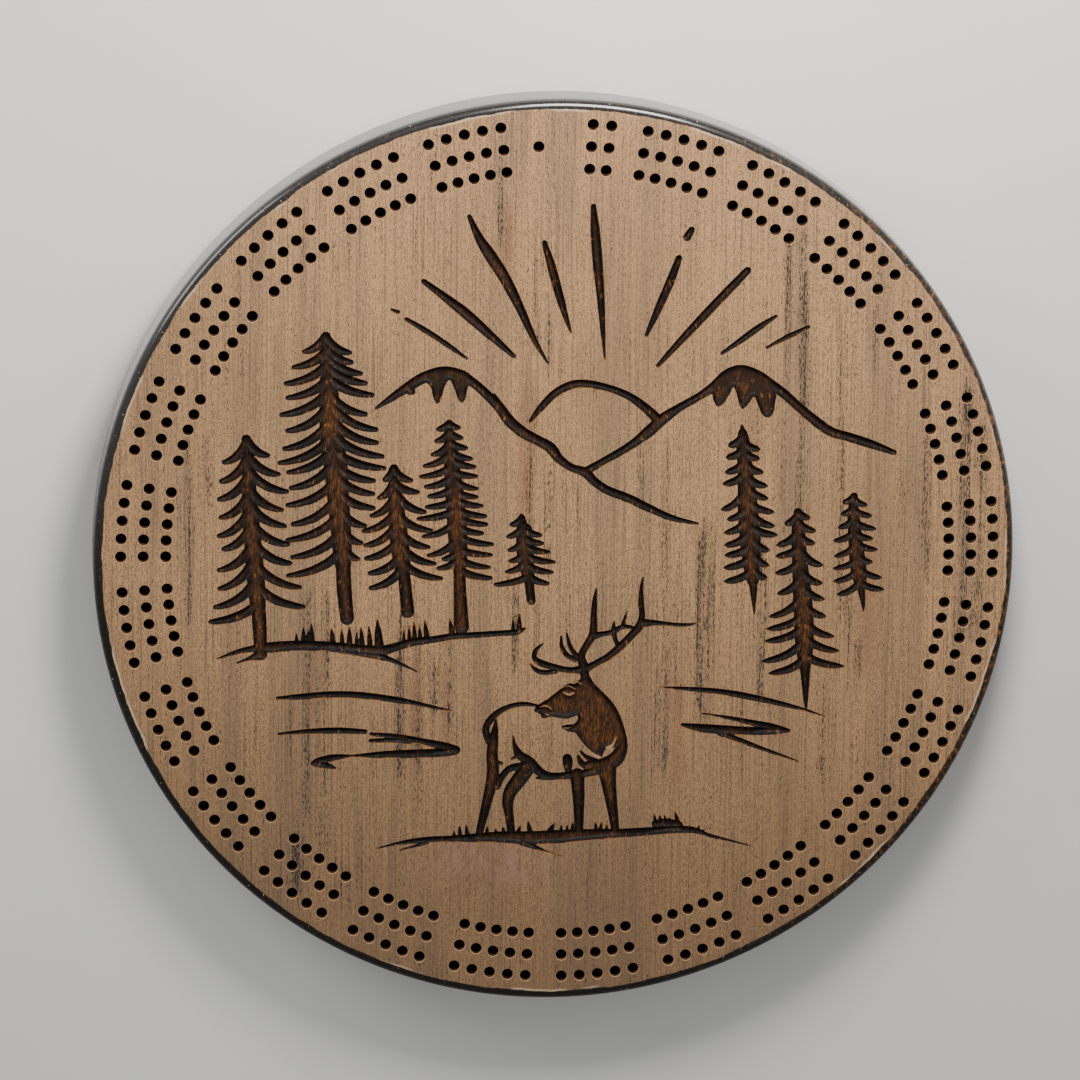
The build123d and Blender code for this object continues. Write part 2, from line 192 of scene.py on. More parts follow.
ELK = table("""
# back, rump and the two hind legs
-5.6 -50.8 .5  -10 -50.2 .8  -14 -50.8 .9  -18 -52.6 1.1  -21 -55.4 1.3  -22.7 -58.8 1.2
-21.6 -63 1.3 /
-19.3 -55.6 .4  -19.6 -59 1.1  -20.2 -63 1.8  -20.5 -68 2  -20.2 -73 2.1  -20.8 -78 2
-22.2 -84 1.7  -23.6 -90 1.4  -25 -96 1.2 /
-19.4 -70.2 1.2  -17.2 -70.5 .5 /
-10 -71.6 1.6  -14.4 -72.2 1.2  -17.2 -75 1.2  -19 -78.4 1.4 /
-8.6 -72 2.6  -11.4 -76 2.6  -14.2 -80 2.3  -15.2 -84 1.9  -14.6 -89 1.5  -13.8 -95 1.3 /
# belly, elbow and the two front legs
-13.6 -61.2 .35  -13 -64.4 .8  -11.4 -67.6 1.5  -8 -70 1.7  -5.2 -73 1.6  -2 -74.9 1.4  2 -75.1 1.3
6 -74.7 1.4  10 -74.4 1.4  14 -73.4 1.8 /
-14 -69 .4  -11.4 -67.6 1 /
-5.4 -75.6 .5  -2.6 -76 .5 /
4.5 -69 1.6  4.7 -70.4 1.7  4.9 -73.2 1.1 /
7.9 -74.8 2.4  8.2 -79 2.2  8.5 -84 1.9  8.6 -90 1.6  8.6 -95.4 1.5 /
17.8 -72.6 3.2  18.5 -78 2.5  19.4 -84 2  20.3 -90 1.6  20.9 -95.4 1.4 /
# shoulder
23.2 -62 1.2  22.6 -66 2  20.4 -69.6 2.6  16 -71.6 2.4  11.6 -71.4 1.6 /
8.1 -68.2 .5  9.2 -70.6 1.1  11 -72 1.2 /
8.9 -66.6 .4  10.6 -68.4 .8  14.4 -70.6 1.3 /
# left antler
9.8 -38.6 1.6  5 -38.8 1.1  0 -37.7 1.1  -4.2 -36.4 1.2  -6.7 -34.6 .9  -6.3 -32 .8
-3.9 -29.6 .25 /
-8.1 -36.4 .3  -6.6 -38.3 .7  -4 -39.4 .9  .4 -39.3 .8 /
2.1 -27.2 .35  2.3 -30.4 .7  3.8 -33.4 .9  6.8 -35.4 .9 /
3.9 -26.2 .35  4.9 -30 .7  6.5 -33 .9  8.4 -35 1.1 /
# right antler
10.2 -41.6 1.5  9.6 -37.4 1.6  8.9 -34 1.3  10.6 -30.4 1.3  12.6 -26.6 1.4  12.9 -20 1.1
13.1 -15 .8  13.6 -11.2 .3 /
12.6 -27.2 1.4  16 -26.5 .9  19.4 -25.9 1  21.4 -24.6 .9  24 -24.2 .8  26.6 -24.8 .7 /
19.7 -22.2 .3  19.5 -25.4 .9  20.2 -28.6 .8  21.4 -31.4 1 /
24 -18.8 .25  23 -21.8 .6  22.4 -24.4 .8 /
10.4 -38.4 1.4  14 -36.5 1.2  18 -34.2 1.3  22 -30.8 1.4  25.4 -27.2 1.4  28 -24.2 1.5
28.9 -20.6 1.1  28.5 -16 1  28.6 -11 .7  29.1 -7.4 .3 /
29 -23 1.6  33 -22.9 1  39 -23.5 .7  44 -23.7 .6  48 -23.1 .2
""")

# each blade of grass: foot x, foot y, tip x, tip y, half width of the foot
GRASS = table("""
-85.4 -28.4 -85.6 -25.4 .7  -83.2 -28 -83.2 -23.4 .9  -81.8 -28 -81.6 -24.8 .8
-80.4 -28 -80.6 -22.2 1  -73.4 -29 -74 -23.6 1  -70.4 -29 -70.6 -24 .9  -68 -29.4 -68 -23.4 1.1
-65.6 -29.6 -65.6 -25.2 .8  -63.8 -30 -64.2 -23.6 1  -61.2 -30 -61.6 -23.2 1
-58.2 -30 -58.8 -20.8 1.6  -50 -28.6 -50 -24 .7  -48.2 -28 -48.3 -23.2 .8  -46.4 -28 -46.8 -21.6 .9
-44.6 -27.6 -44.9 -23.2 .8  -42.4 -27.4 -43.2 -21.2 1  -34 -26.4 -34.9 -21 1.1
-13.8 -25.8 -13.9 -21.4 .8  -11.8 -25.4 -11.8 -19.2 1  -33 -95.4 -33 -93.6 .6
-31 -95.4 -31.2 -91.8 .8  -28.6 -95.4 -29 -91.4 .8  -22 -95 -22 -92.2 .8  -19 -95 -19.2 -93 .8
-16.4 -95 -16.8 -92.2 .8  -12 -95 -10.8 -92 .9  -7.6 -94.6 -8.4 -90.4 1  -1.4 -94.6 .4 -91.4 1.1
2.6 -94.4 2.8 -92 .7  4.6 -94.4 4.8 -92 .7  6.4 -94.4 6.6 -91 .9  14.4 -94 14.1 -91 .8
15.8 -94 16.2 -91 .8  17.8 -94 18 -91.8 .7  34.4 -92.4 33.8 -88.6 .8  36 -92 35.6 -89 .9
37.8 -92 37.2 -89 .8  39 -92 38.8 -89.6 .8  42 -92.6 40.6 -87.6 1  48.4 -94.4 48.9 -92.6 .6
50 -95.4 50.6 -93.8 .5
""", 5)[0]

# the snow caps, cut as flat-floored areas whose lower edges run in drips
CAPS = table("""
-55 54.6  -50 58  -44 62  -37 64  -30.6 62.8  -26.6 59.4  -28.6 58.4  -29.7 55.6  -30.2 52.9
-31.4 51.9  -32.6 53.2  -33.8 56.8  -35.4 59.6  -37 57.2  -38 53.4  -39.3 51.7  -40.6 53.4
-41.4 56.9  -43 58.6  -46 57.6  -47.4 55.2  -49 54.8  -50.2 56.2  -52.4 55.2 /
48.6 55.4  52.4 59  56.4 62.4  60.8 63.6  65.6 61.4  70.4 58.2  72.4 55.6  72.1 51.6  71.5 48
70 46.3  67.9 47.2  66.4 50.4  65.1 53.3  63.7 51.6  62.2 49.8  61.3 49.2  60.2 50.8  59.2 54.2
58.2 56.6  56.8 54  55 51  53 50  51.5 52.4  51 54.6
""", 2)

# the elk's head, neck and mane, cut as one flat-floored area
ELK_HEAD = table("""
8.6 -41.8  11.4 -40.8  13.4 -43.6  16.8 -47  19.8 -50.4  22 -54.4  23.6 -59  24.3 -63  23.4 -66.4
20.6 -65.6  17.4 -66  15.4 -69.2  12 -67  9.2 -63.6  7.2 -60.4  4.8 -59.8  2.4 -58.2  4.2 -57.4
7 -57  7.8 -54.4  4 -55.4  -.4 -54.8  -3.8 -55.2  -4.6 -53.8  -6.6 -52.6  -5.4 -50.6  -2 -48.4
1 -46  3.6 -44  5.2 -43.2  7 -43.4
""", 2)[0]

# low ridges left standing in the carving: eye, cheek, jaw, muzzle and collar
ELK_RIDGES = table("""
3 -46.6 .5  4.8 -47.5 .7  6.6 -47 .6 /
2.8 -45 .4  4.8 -44.4 .5  7 -45.6 .4 /
-4.6 -51.6 .4  -2.6 -51.2 .5  -.8 -52.4 .4 /
-3.4 -54 .3  -1.6 -54.2 .4 /
2.6 -58.4 .3  5 -58.8 .4  6.8 -57.8 .3 /
7 -60.6 .5  10 -65 .9  13 -67.8 .9  15.4 -68.9 .7 /
17.6 -65.6 .6  19.6 -64.8 .8  20.8 -62.6 .6 /
4.6 -42 .3  7 -42.4 .5  9 -44 .5
""")

# each conifer: its trunk, its bough tips as (x, y, rise to the trunk), its solid core as
# (y, half width, 0), and then (half width of a bough, half width of its tip, 0)
TREES = table("""
-102 40.2 .5  -101.5 34 1.5  -101 20 1.5  -99.8 5 1.8  -98.8 -8 2.1  -97.8 -20 2.4
-97.3 -32.4 2.2 /
-109.2 32.6 6.5  -110.2 26.2 8  -110.8 20.2 8  -110.4 14 8  -111 7.8 9  -109.4 3.4 8  -111 -3.8 9
-110.8 -10 10  -112.2 -16.2 9  -113.8 -21.2 6  -95 34.8 5.5  -91.4 28.4 6.5  -88.8 22.6 7.5
-90.4 16.4 7.5  -89.4 11 7.5  -88.4 4.8 7.5  -87.6 -1.6 7.5  -84.4 -9.8 8.5  -83.2 -16.4 7.5 /
37.6 .8 0  31 2 0  16 2.7 0  0 3 0  -12 2.9 0  -19 2.2 0 /
1.65 .85 0 /
-76 75 .5  -75.5 68 1.2  -75 60 1.5  -74.6 50 1.6  -73.8 40 1.7  -72.6 30 1.8  -71.8 20 1.9
-71 10 2.1  -70.2 0 2.4  -69.8 -10 2.5  -68.8 -20.4 2.3 /
-83 69.4 5  -86.4 64.2 5.5  -89 58.8 6.5  -88.4 54 6.5  -90.4 48.4 8  -88.4 43 9  -89.4 37 9.5
-91 32.2 9  -88.2 29 8  -87.2 23.8 9  -88.4 18 8.5  -86.6 11.6 9.5  -88.4 6.2 8.5  -86.8 .4 8.5
-88.2 -5.8 8.5  -68.2 69 5  -67.6 65.8 4.5  -64.6 62 5.5  -63 58.8 5.5  -60.8 54.8 6  -63 48.4 7
-59.4 43.2 9  -59.2 38.8 8.5  -57.4 34.2 8  -56.8 30.2 6  -60.2 26 5.5  -60.4 21.6 6
-60.2 16.8 5.5  -63 10.8 6  -64.2 5 5.5  -65.2 -.4 5 /
72.6 .8 0  66 2.4 0  56 3 0  44 3.9 0  30 3.9 0  14 3.5 0  2 3.2 0  -4 2.4 0 /
1.65 .85 0 /
-53.5 30 .5  -53 23 1.2  -52.3 12 1.5  -51.2 2 1.7  -49.8 -8 2.1  -48.8 -18.4 2.2 /
-56.6 26.4 4  -58.4 20.2 6  -60.8 14.2 7  -63.4 9 7  -62.8 4.2 7.5  -62.6 -.2 6.5  -61.4 -5.2 6
-61 -10.2 7  -47.8 26 3.5  -45.6 22 3  -43.4 15.4 6.5  -41.2 9 6  -42 3.4 6  -40 -2.2 6.5
-37.8 -7.2 5.5 /
27.6 .8 0  22 2.2 0  12 3 0  2 3.1 0  -5 2.4 0 /
1.55 .8 0 /
-35.4 45 .6  -35.2 38 1.4  -34.2 28 1.6  -33 18 1.7  -32.4 8 1.9  -31.8 -4 2  -31.4 -14 2.2
-31 -23.6 2.6 /
-39 43.2 2  -39.6 39.2 3  -40.8 34.6 4  -43.4 30.8 4.5  -44.6 27.2 3.5  -43 23.8 3.5  -41.8 20.6 3
-42.6 17 2.2  -45.4 13 3  -43.6 7 5.5  -42 .6 6  -37 -.6 2.4  -38.8 -3.8 3  -32.2 43.6 1.2
-31.4 40.2 1.8  -29.8 36.8 2  -28.2 33.2 2.6  -27 30.4 2.6  -26.4 27.2 1.6  -26.2 23 3.4
-26.2 20.2 2  -24.6 17.2 2  -23.4 13.8 2.2  -23 11 2.2  -24.4 8 2.2  -21 4.2 2.8  -21.4 .6 2
-22 -3.6 3  -21.4 -7.2 3 /
43 1 0  36 2.2 0  24 3 0  10 3.3 0  0 2.9 0  -4 2.2 0 /
1.4 .75 0 /
-11.4 13.8 .8  -11 9 1.6  -10 0 1.6  -8.8 -8 1.6  -7.9 -15 1.5 /
-14.8 10.8 2  -15.8 6.8 3  -15.4 2.2 3  -15.2 -1.6 2.6  -16.2 -5.2 3.4  -19.8 -9.4 2.6
-8.4 9.6 1.6  -5 7.2 2.4  -4.4 4.4 2  -2.2 1.4 2.2  -.4 -2 2.4  -1.2 -5.4 2.6  -2.4 -9.2 3 /
12 1.4 0  7 2.4 0  0 2.8 0  -6 2.2 0 /
1.35 .65 0 /
61.2 43.6 .5  61.6 39 1.6  62.4 30 2  63.2 20 1.8  64.4 6 1.8  65.3 -6 1.7  65.9 -13 1.2
66.2 -20.2 .25 /
57 37 3  56.3 33 2.6  56.1 28 3.4  55.3 24 3.6  55 15.4 7  57 12 4  56 7.4 5  56.1 3.2 4.2
56.3 -.2 3  56 -4.4 3.4  56.3 -9 3.4  67 35.6 2.4  67 32.4 2.2  68.3 27.8 3.4  69.7 23.2 3.6
70 19 4.2  72 14.4 3.6  72.4 9.6 5.4  73.2 6.6 3  70.7 1.4 5  70.7 -3.8 5.4  70.1 -8 3.6 /
41 1.6 0  36 2.5 0  28 2.6 0  16 3.4 0  6 3.5 0  -4 2.8 0  -9 2 0 /
1.5 .4 0 /
80.2 14.6 .5  80.4 9 1.3  81 -2 1.5  82 -12 1.7  82.8 -22 1.8  83.2 -32 1.9  83.6 -42 1.5
84 -52.6 .5 /
76.2 10.4 3  73.6 3.2 4.6  73.4 -.6 2.6  73.2 -6.4 3.8  74 -13.4 5.6  71.4 -21.2 7  70.6 -25.4 4.6
70.2 -29.6 4.8  69.3 -36.4 7  71.6 -40.6 5  84 12.2 2  86 7.8 3  85.8 3.6 3  88.5 -3.8 6
88.5 -10 4.6  89.2 -15.4 5  89.8 -21.2 4.6  92.8 -28.2 5.6  94.6 -33.2 5.2  96.2 -38.4 4 /
12.6 1.2 0  8 2.3 0  -4 2.7 0  -16 3.2 0  -28 3.3 0  -36 2.4 0  -40 1.7 0 /
1.5 .45 0 /
98.8 20.2 .5  98.6 15 1.3  99.4 5 1.4  100.4 -3 1.4  101.4 -10 1.5  102.2 -15 1  102.7 -19.8 .25 /
95.3 17.5 2  94.8 13.5 2  93.9 9 3  92.5 4.5 3  92.8 -.8 4  92.5 -5 3  92.5 -9.4 4  93.9 -13.8 4.4
103 16.4 2.2  104.6 12.8 2.2  106 8.4 2.6  105.2 5 2  106.8 1.2 2.6  105.2 -3 2.4  108.2 -8.2 3.4
109 -12.2 2.2 /
19 1 0  14 2 0  4 2.4 0  -5 2.7 0  -11 2 0 /
1.3 .4 0
""")
# where a bough bends, as shares of its run and of its drop
BEND_ALONG, BEND_UP = 0.35, 0.12
# a bough's width along it, as (share of the way, share of the half width)
BOUGH_TAPER = ((0, 1), (0.3, 1), (0.6, 0.92), (0.85, 0.74))
# a blade of grass: half width of its tip, and share of its foot's half width at the middle
BLADE_TIP, BLADE_MIDDLE = 0.2, 0.75
TABLES_PER_TREE = 4


def bough_stroke(root, tip, half, tip_half):
    """A drooping bough that leaves the trunk steeply and flattens out towards its tip."""
    root, tip = np.array(root), np.array(tip)
    bend = np.array((root[0] + BEND_ALONG * (tip[0] - root[0]),
                     tip[1] + BEND_UP * (root[1] - tip[1])))
    widths = [(share, half * width) for share, width in BOUGH_TAPER] + [(1, tip_half)]
    return [
        (*((1 - share) ** 2 * root + 2 * share * (1 - share) * bend + share**2 * tip), width)
        for share, width in widths
    ]


def tree_strokes(trunk, tips, core, widths):
    """The trunk, its core, and one bough for each tip, which joins the trunk at its own rise."""
    half, tip_half, _ = widths[0]

    def on_trunk(y):
        return np.interp(-y, -trunk[:, 1], trunk[:, 0]), y

    boughs = [
        bough_stroke(on_trunk(min(tip_y + rise, trunk[0, 1])), (tip_x, tip_y), half, tip_half)
        for tip_x, tip_y, rise in tips
    ]
    return trunk, [(*on_trunk(y), width) for y, width, _ in core], boughs


# ---- The carving as grids: distance inside the nearest edge, depth, and ridges ----
def smooth(points, closed=False):
    """Points every STEP or so along a Catmull-Rom curve through given ones."""
    rows = np.array(points, float)
    if closed:
        padded = np.vstack([rows[-1:], rows, rows[:2]])
    else:
        padded = np.vstack([2 * rows[:1] - rows[1:2], rows, 2 * rows[-1:] - rows[-2:-1]])
    spans = []
    for a, b, c, d in zip(padded, padded[1:], padded[2:], padded[3:]):
        count = max(int(np.hypot(*(c - b)[:2]) / STEP), 1)
        t = (np.arange(count) / count)[:, None]
        spans.append(
            0.5 * (2 * b + (c - a) * t + (2 * a - 5 * b + 4 * c - d) * t**2
                   + (3 * b - a - 3 * c + d) * t**3)
        )
    if not closed:
        spans.append(rows[-1:])
    return np.vstack(spans)


GRID_X = np.arange(LEFT, RIGHT + CELL / 2, CELL)
GRID_Y = np.arange(BOTTOM, TOP + CELL / 2, CELL)
inside = np.full((len(GRID_Y), len(GRID_X)), -MARGIN)
depth = np.zeros_like(inside)
ridge = np.zeros_like(inside)


def window(low_x, low_y, high_x, high_y):
    """The part of the grids that covers a rectangle, and the places in it."""
    columns = slice(max(int((low_x - LEFT) / CELL), 0), int((high_x - LEFT) / CELL) + 2)
    rows = slice(max(int((low_y - BOTTOM) / CELL), 0), int((high_y - BOTTOM) / CELL) + 2)
    return (rows, columns), GRID_X[columns][None, :], GRID_Y[rows][:, None]


def keep_highest(grid, part, values):
    np.maximum(grid[part], values, out=grid[part])


def carve(part, distance, wall, share):
    """Cut to a share of the full depth: a wall that curves down to a floor."""
    t = np.clip(distance / wall, 0, 1)
    keep_highest(inside, part, distance)
    keep_highest(depth, part, share * (DEPTH_PER_WALL * wall * t * (2 - t)))


def carve_stroke(points, share=1.0):
    """Cut a rounded groove of changing width."""
    for x, y, half in smooth(points):
        reach = half + MARGIN
        part, xs, ys = window(x - reach, y - reach, x + reach, y + reach)
        carve(part, half - np.hypot(xs - x, ys - y), min(half, WALL), share)


def carve_area(points):
    """Cut a flat-floored area inside a closed outline."""
    outline = smooth(points, closed=True)
    part, xs, ys = window(*(outline.min(0) - MARGIN), *(outline.max(0) + MARGIN))
    xs, ys = np.broadcast_arrays(xs, ys)
    distance = np.full(xs.shape, np.inf)
    crossings = np.zeros(xs.shape, int)
    for (x0, y0), (x1, y1) in zip(outline, np.roll(outline, -1, axis=0)):
        distance = np.minimum(distance, np.hypot(xs - x0, ys - y0))
        if y0 != y1:
            spans = (y0 > ys) != (y1 > ys)
            crossings += spans & (xs < x0 + (ys - y0) * (x1 - x0) / (y1 - y0))
    carve(part, np.where(crossings % 2 == 1, distance, -distance), WALL, 1.0)


def leave_ridge(points):
    """Leave a low rounded ridge standing in an area that is already cut."""
    for x, y, half in smooth(points):
        part, xs, ys = window(x - half, y - half, x + half, y + half)
        away = np.hypot(xs - x, ys - y) / half
        keep_highest(ridge, part, np.clip(1 - away**2, 0, 1))


for stroke in (*RAYS, *MOUNTAINS, *GROUND, *RIPPLES, *ELK):
    carve_stroke(stroke)
for first in range(0, len(TREES), TABLES_PER_TREE):
    trunk, core, boughs = tree_strokes(*TREES[first:first + TABLES_PER_TREE])
    carve_stroke(core, CORE_DEPTH)
    for stroke in (trunk, *boughs):
        carve_stroke(stroke)
for foot_x, foot_y, tip_x, tip_y, half in GRASS:
    middle = ((foot_x + tip_x) / 2, (foot_y + tip_y) / 2, half * BLADE_MIDDLE)
    carve_stroke(((foot_x, foot_y, half), middle, (tip_x, tip_y, BLADE_TIP)))
for area in (*CAPS, ELK_HEAD):
    carve_area(area)
for stroke in ELK_RIDGES:
    leave_ridge(stroke)
depth *= 1 - RIDGE_HEIGHT * ridge


def sample(grid, x, y):
    """A grid's value between its points, for arrays of places."""
    column = np.clip((x - LEFT) / CELL, 0, len(GRID_X) - 1.001)
    row = np.clip((y - BOTTOM) / CELL, 0, len(GRID_Y) - 1.001)
    i, j = column.astype(int), row.astype(int)
    u, v = column - i, row - j
    return (grid[j, i] * (1 - u) * (1 - v) + grid[j, i + 1] * u * (1 - v)
            + grid[j + 1, i] * (1 - u) * v + grid[j + 1, i + 1] * u * v)


def columns(*parts):
    """Rows made of columns, any of which may be one number for all the rows."""
    return np.stack(np.broadcast_arrays(*parts), 1)


# the sides of a grid square that the carving's edge crosses, for each set of its corners
# that is carved; the sides are numbered 0 below, 1 right, 2 above and 3 left
CROSSED_SIDES = {
    1: [(3, 0)], 2: [(0, 1)], 3: [(3, 1)], 4: [(1, 2)], 5: [(3, 0), (1, 2)], 6: [(0, 2)],
    7: [(3, 2)], 8: [(2, 3)], 9: [(2, 0)], 10: [(0, 1), (2, 3)], 11: [(2, 1)],
    12: [(1, 3)], 13: [(1, 0)], 14: [(0, 3)],
}
# crossings keep this share of a grid step away from its ends, so that no sliver forms
LEAST_SHARE = 0.08


def edge_lines():
    """The carving's edge as points and segments, by marching through the grid's squares."""
    width = inside.shape[1]
    upright_start = inside.size
    solid = inside > 0
    corners = [solid[:-1, :-1], solid[:-1, 1:], solid[1:, 1:], solid[1:, :-1]]
    case = sum(corner.astype(int) << place for place, corner in enumerate(corners))

    def grid_line(j, i, side):
        """The number of a square's side: all those along x come before the upright ones."""
        return (side % 2) * upright_start + (j + (side == 2)) * width + i + (side == 1)

    pairs = []
    for number, lines in CROSSED_SIDES.items():
        j, i = np.nonzero(case == number)
        pairs += [columns(grid_line(j, i, first), grid_line(j, i, last)) for first, last in lines]
    ids, segments = np.unique(np.vstack(pairs), return_inverse=True)
    upright = ids >= upright_start
    j, i = np.divmod(ids % upright_start, width)
    start, end = inside[j, i], inside[j + upright, i + ~upright]
    t = np.clip(start / (start - end), LEAST_SHARE, 1 - LEAST_SHARE)
    points = columns(LEFT + CELL * (i + t * ~upright), BOTTOM + CELL * (j + t * upright))
    return points, segments.reshape(-1, 2)


EDGE_POINTS, EDGE_SEGMENTS = edge_lines()


# ---- Building a stave ----
class Shell:
    """Triangles gathered patch by patch, then welded where their points meet."""

    WELD = 2e4  # points are matched to the nearest 1 / WELD of a millimetre

    def __init__(self):
        self.points, self.faces, self.kinds, self.count = [], [], [], 0

    def add(self, points, faces, kind):
        self.points.append(np.asarray(points, float))
        self.faces.append(np.asarray(faces, int) + self.count)
        self.kinds.append(np.full(len(faces), kind))
        self.count += len(points)

    def strip(self, first, second, kind, closed=False):
        """A band of triangles between two rows of as many points."""
        rows = len(first)
        index = np.arange(rows if closed else rows - 1)
        after = (index + 1) % rows
        faces = [columns(index, after, after + rows), columns(index, after + rows, index + rows)]
        self.add(np.vstack([first, second]), np.vstack(faces), kind)

    def fan(self, rim, middle, kind):
        """A cone from a closed row of points to one point."""
        index = np.arange(len(rim))
        faces = columns(index, (index + 1) % len(rim), len(rim))
        self.add(np.vstack([rim, middle]), faces, kind)

    def welded(self):
        """The points, faces and kinds of face, without the triangles that closed up."""
        points, faces = np.vstack(self.points), np.vstack(self.faces)
        keys = np.round(points * self.WELD).astype(np.int64)
        _, keep, index = np.unique(keys, axis=0, return_index=True, return_inverse=True)
        a, b, c = index.reshape(-1)[faces].T
        good = (a != b) & (b != c) & (c != a)
        used, faces = np.unique(columns(a, b, c)[good], return_inverse=True)
        return points[keep][used], faces.reshape(-1, 3), np.concatenate(self.kinds)[good]


class Sketch:
    """Flat points and edges, gathered one after another and then triangulated."""

    def __init__(self):
        self.points, self.edges, self.count = [], [], 0

    def add(self, points, edges=None):
        if edges is not None:
            self.edges.append(edges + self.count)
        self.points.append(points)
        self.count += len(points)

    def loop(self, points):
        index = np.arange(len(points))
        self.add(points, columns(index, (index + 1) % len(points)))

    def triangles(self):
        """Constrained Delaunay triangles; the points gain some where edges cross."""
        points = np.vstack(self.points)
        edges = [tuple(edge) for edge in np.vstack(self.edges)]
        got = delaunay_2d_cdt([Vector(point) for point in points], edges, [], 0, 1e-7)
        flat = [points[given[0]] if given else tuple(new) for new, given in zip(got[0], got[3])]
        return np.array(flat), np.array([tuple(face) for face in got[2]], int)


FACE_KIND, CARVED_KIND, HOLE_KIND, BACK_KIND, RIM_KIND = range(5)


def ring(x, y, radius, z):
    turn = np.arange(HOLE_SIDES) * 2 * pi / HOLE_SIDES
    return columns(x + radius * np.cos(turn), y + radius * np.sin(turn), z)


def hole_list():
    """Every peg hole: two start rows, twenty-four streets of five, and one finish hole."""
    rows = [*START_PLACES] + [
        FIRST_STREET_PLACE + PLACES_PER_STREET * street + hole
        for street in range(STREETS)
        for hole in range(HOLES_PER_STREET)
    ]
    places = [(row, radius) for row in rows for radius in TRACK_RADII]
    holes = []
    for row, radius in [*places, (FINISH_PLACE, TRACK_RADII[1])]:
        turn = radians(FIRST_PLACE_ANGLE + row * 360 / PLACES_PER_TURN)
        holes.append((TRACK_CENTRE[0] + radius * sin(turn), TRACK_CENTRE[1] + radius * cos(turn)))
    return np.array(holes)


def rim_profile():
    """(inset, height) down the rim, from the face, round the edge, to the back."""
    rows = []
    for step in range(EDGE_STEPS + 1):
        turn = pi / 2 * step / EDGE_STEPS
        rows.append((EDGE_ROUND * (1 - sin(turn)), FACE - EDGE_ROUND * (1 - cos(turn))))
    return rows + [(0.0, (FACE + BACK) / 2), (0.0, BACK + BACK_CHAMFER), (BACK_CHAMFER, BACK)]


HOLES = hole_list()
RIM_PROFILE = rim_profile()


def arcs(low_x, high_x):
    """The stretches of rim that a stave has, as (x, side) of the start and of the end."""
    if low_x <= -RADIUS + TINY:
        return [(high_x, 1, high_x, -1)]
    if high_x >= RADIUS - TINY:
        return [(low_x, -1, low_x, 1)]
    return [(high_x, 1, low_x, 1), (low_x, -1, high_x, -1)]


def rim_rows(arc):
    """The rim's profile swept along one arc, row by row, counter-clockwise."""
    start_x, start_side, end_x, end_side = arc
    rows = []
    for inset, z in RIM_PROFILE:
        radius = RADIUS - inset
        start = atan2(start_side * sqrt(radius**2 - start_x**2), start_x)
        end = atan2(end_side * sqrt(radius**2 - end_x**2), end_x)
        if end <= start:
            end += 2 * pi
        if not rows:
            count = int((end - start) * RADIUS / RIM_STEP)
        turn = start + (end - start) * np.arange(count + 1) / count
        rows.append(columns(radius * np.cos(turn), radius * np.sin(turn), z))
    return rows


def seam_points(x, low_y, high_y):
    """Places along a glue line: close together where the carving crosses it."""
    fine = np.arange(low_y, high_y, SEAM_STEP)[1:-1]
    keep = sample(inside, np.full(len(fine), x), fine) > -FACE_CLEAR
    keep[::SEAM_COARSE] = True
    return fine[keep]


def outline_loop(low_x, high_x, row):
    """The stave's outline, counter-clockwise, on its face (row 0) or its back (row -1)."""
    loop = []
    for arc in arcs(low_x, high_x):
        loop.append(rim_rows(arc)[row][:, :2])
        end_y = loop[-1][-1, 1]
        along = seam_points(arc[2], -abs(end_y), abs(end_y))
        loop.append(columns(arc[2], along[::-1] if end_y > 0 else along))
    return np.vstack(loop)


def drill(shell, x, y, radius, mouth_z, floor_z, wear, kind):
    """A blind hole: worn mouth, straight wall and a shallow drill point."""
    down = -1 if floor_z < mouth_z else 1
    rims = [ring(x, y, radius + wear * out, mouth_z + down * wear * deep)
            for out, deep in MOUTH_PROFILE]
    rims.append(ring(x, y, radius, floor_z))
    for rim in zip(rims, rims[1:]):
        first, second = rim if down < 0 else rim[::-1]
        shell.strip(first, second, kind, closed=True)
    tip = [[x, y, floor_z + down * radius * DRILL_POINT]]
    shell.fan(rims[-1] if down < 0 else rims[-1][::-1], tip, kind)


def cut_out(points, faces, centres, radius):
    """Drop the triangles inside drilled holes, whose outlines have HOLE_SIDES corners."""
    middle = points[faces].mean(1)
    keep = np.ones(len(faces), bool)
    # between the middles of a ring's sides and the middles of the triangles outside them
    within = radius * (1 + 3 * cos(pi / HOLE_SIDES)) / 4
    for x, y in centres:
        keep &= np.hypot(middle[:, 0] - x, middle[:, 1] - y) > within
    return faces[keep]


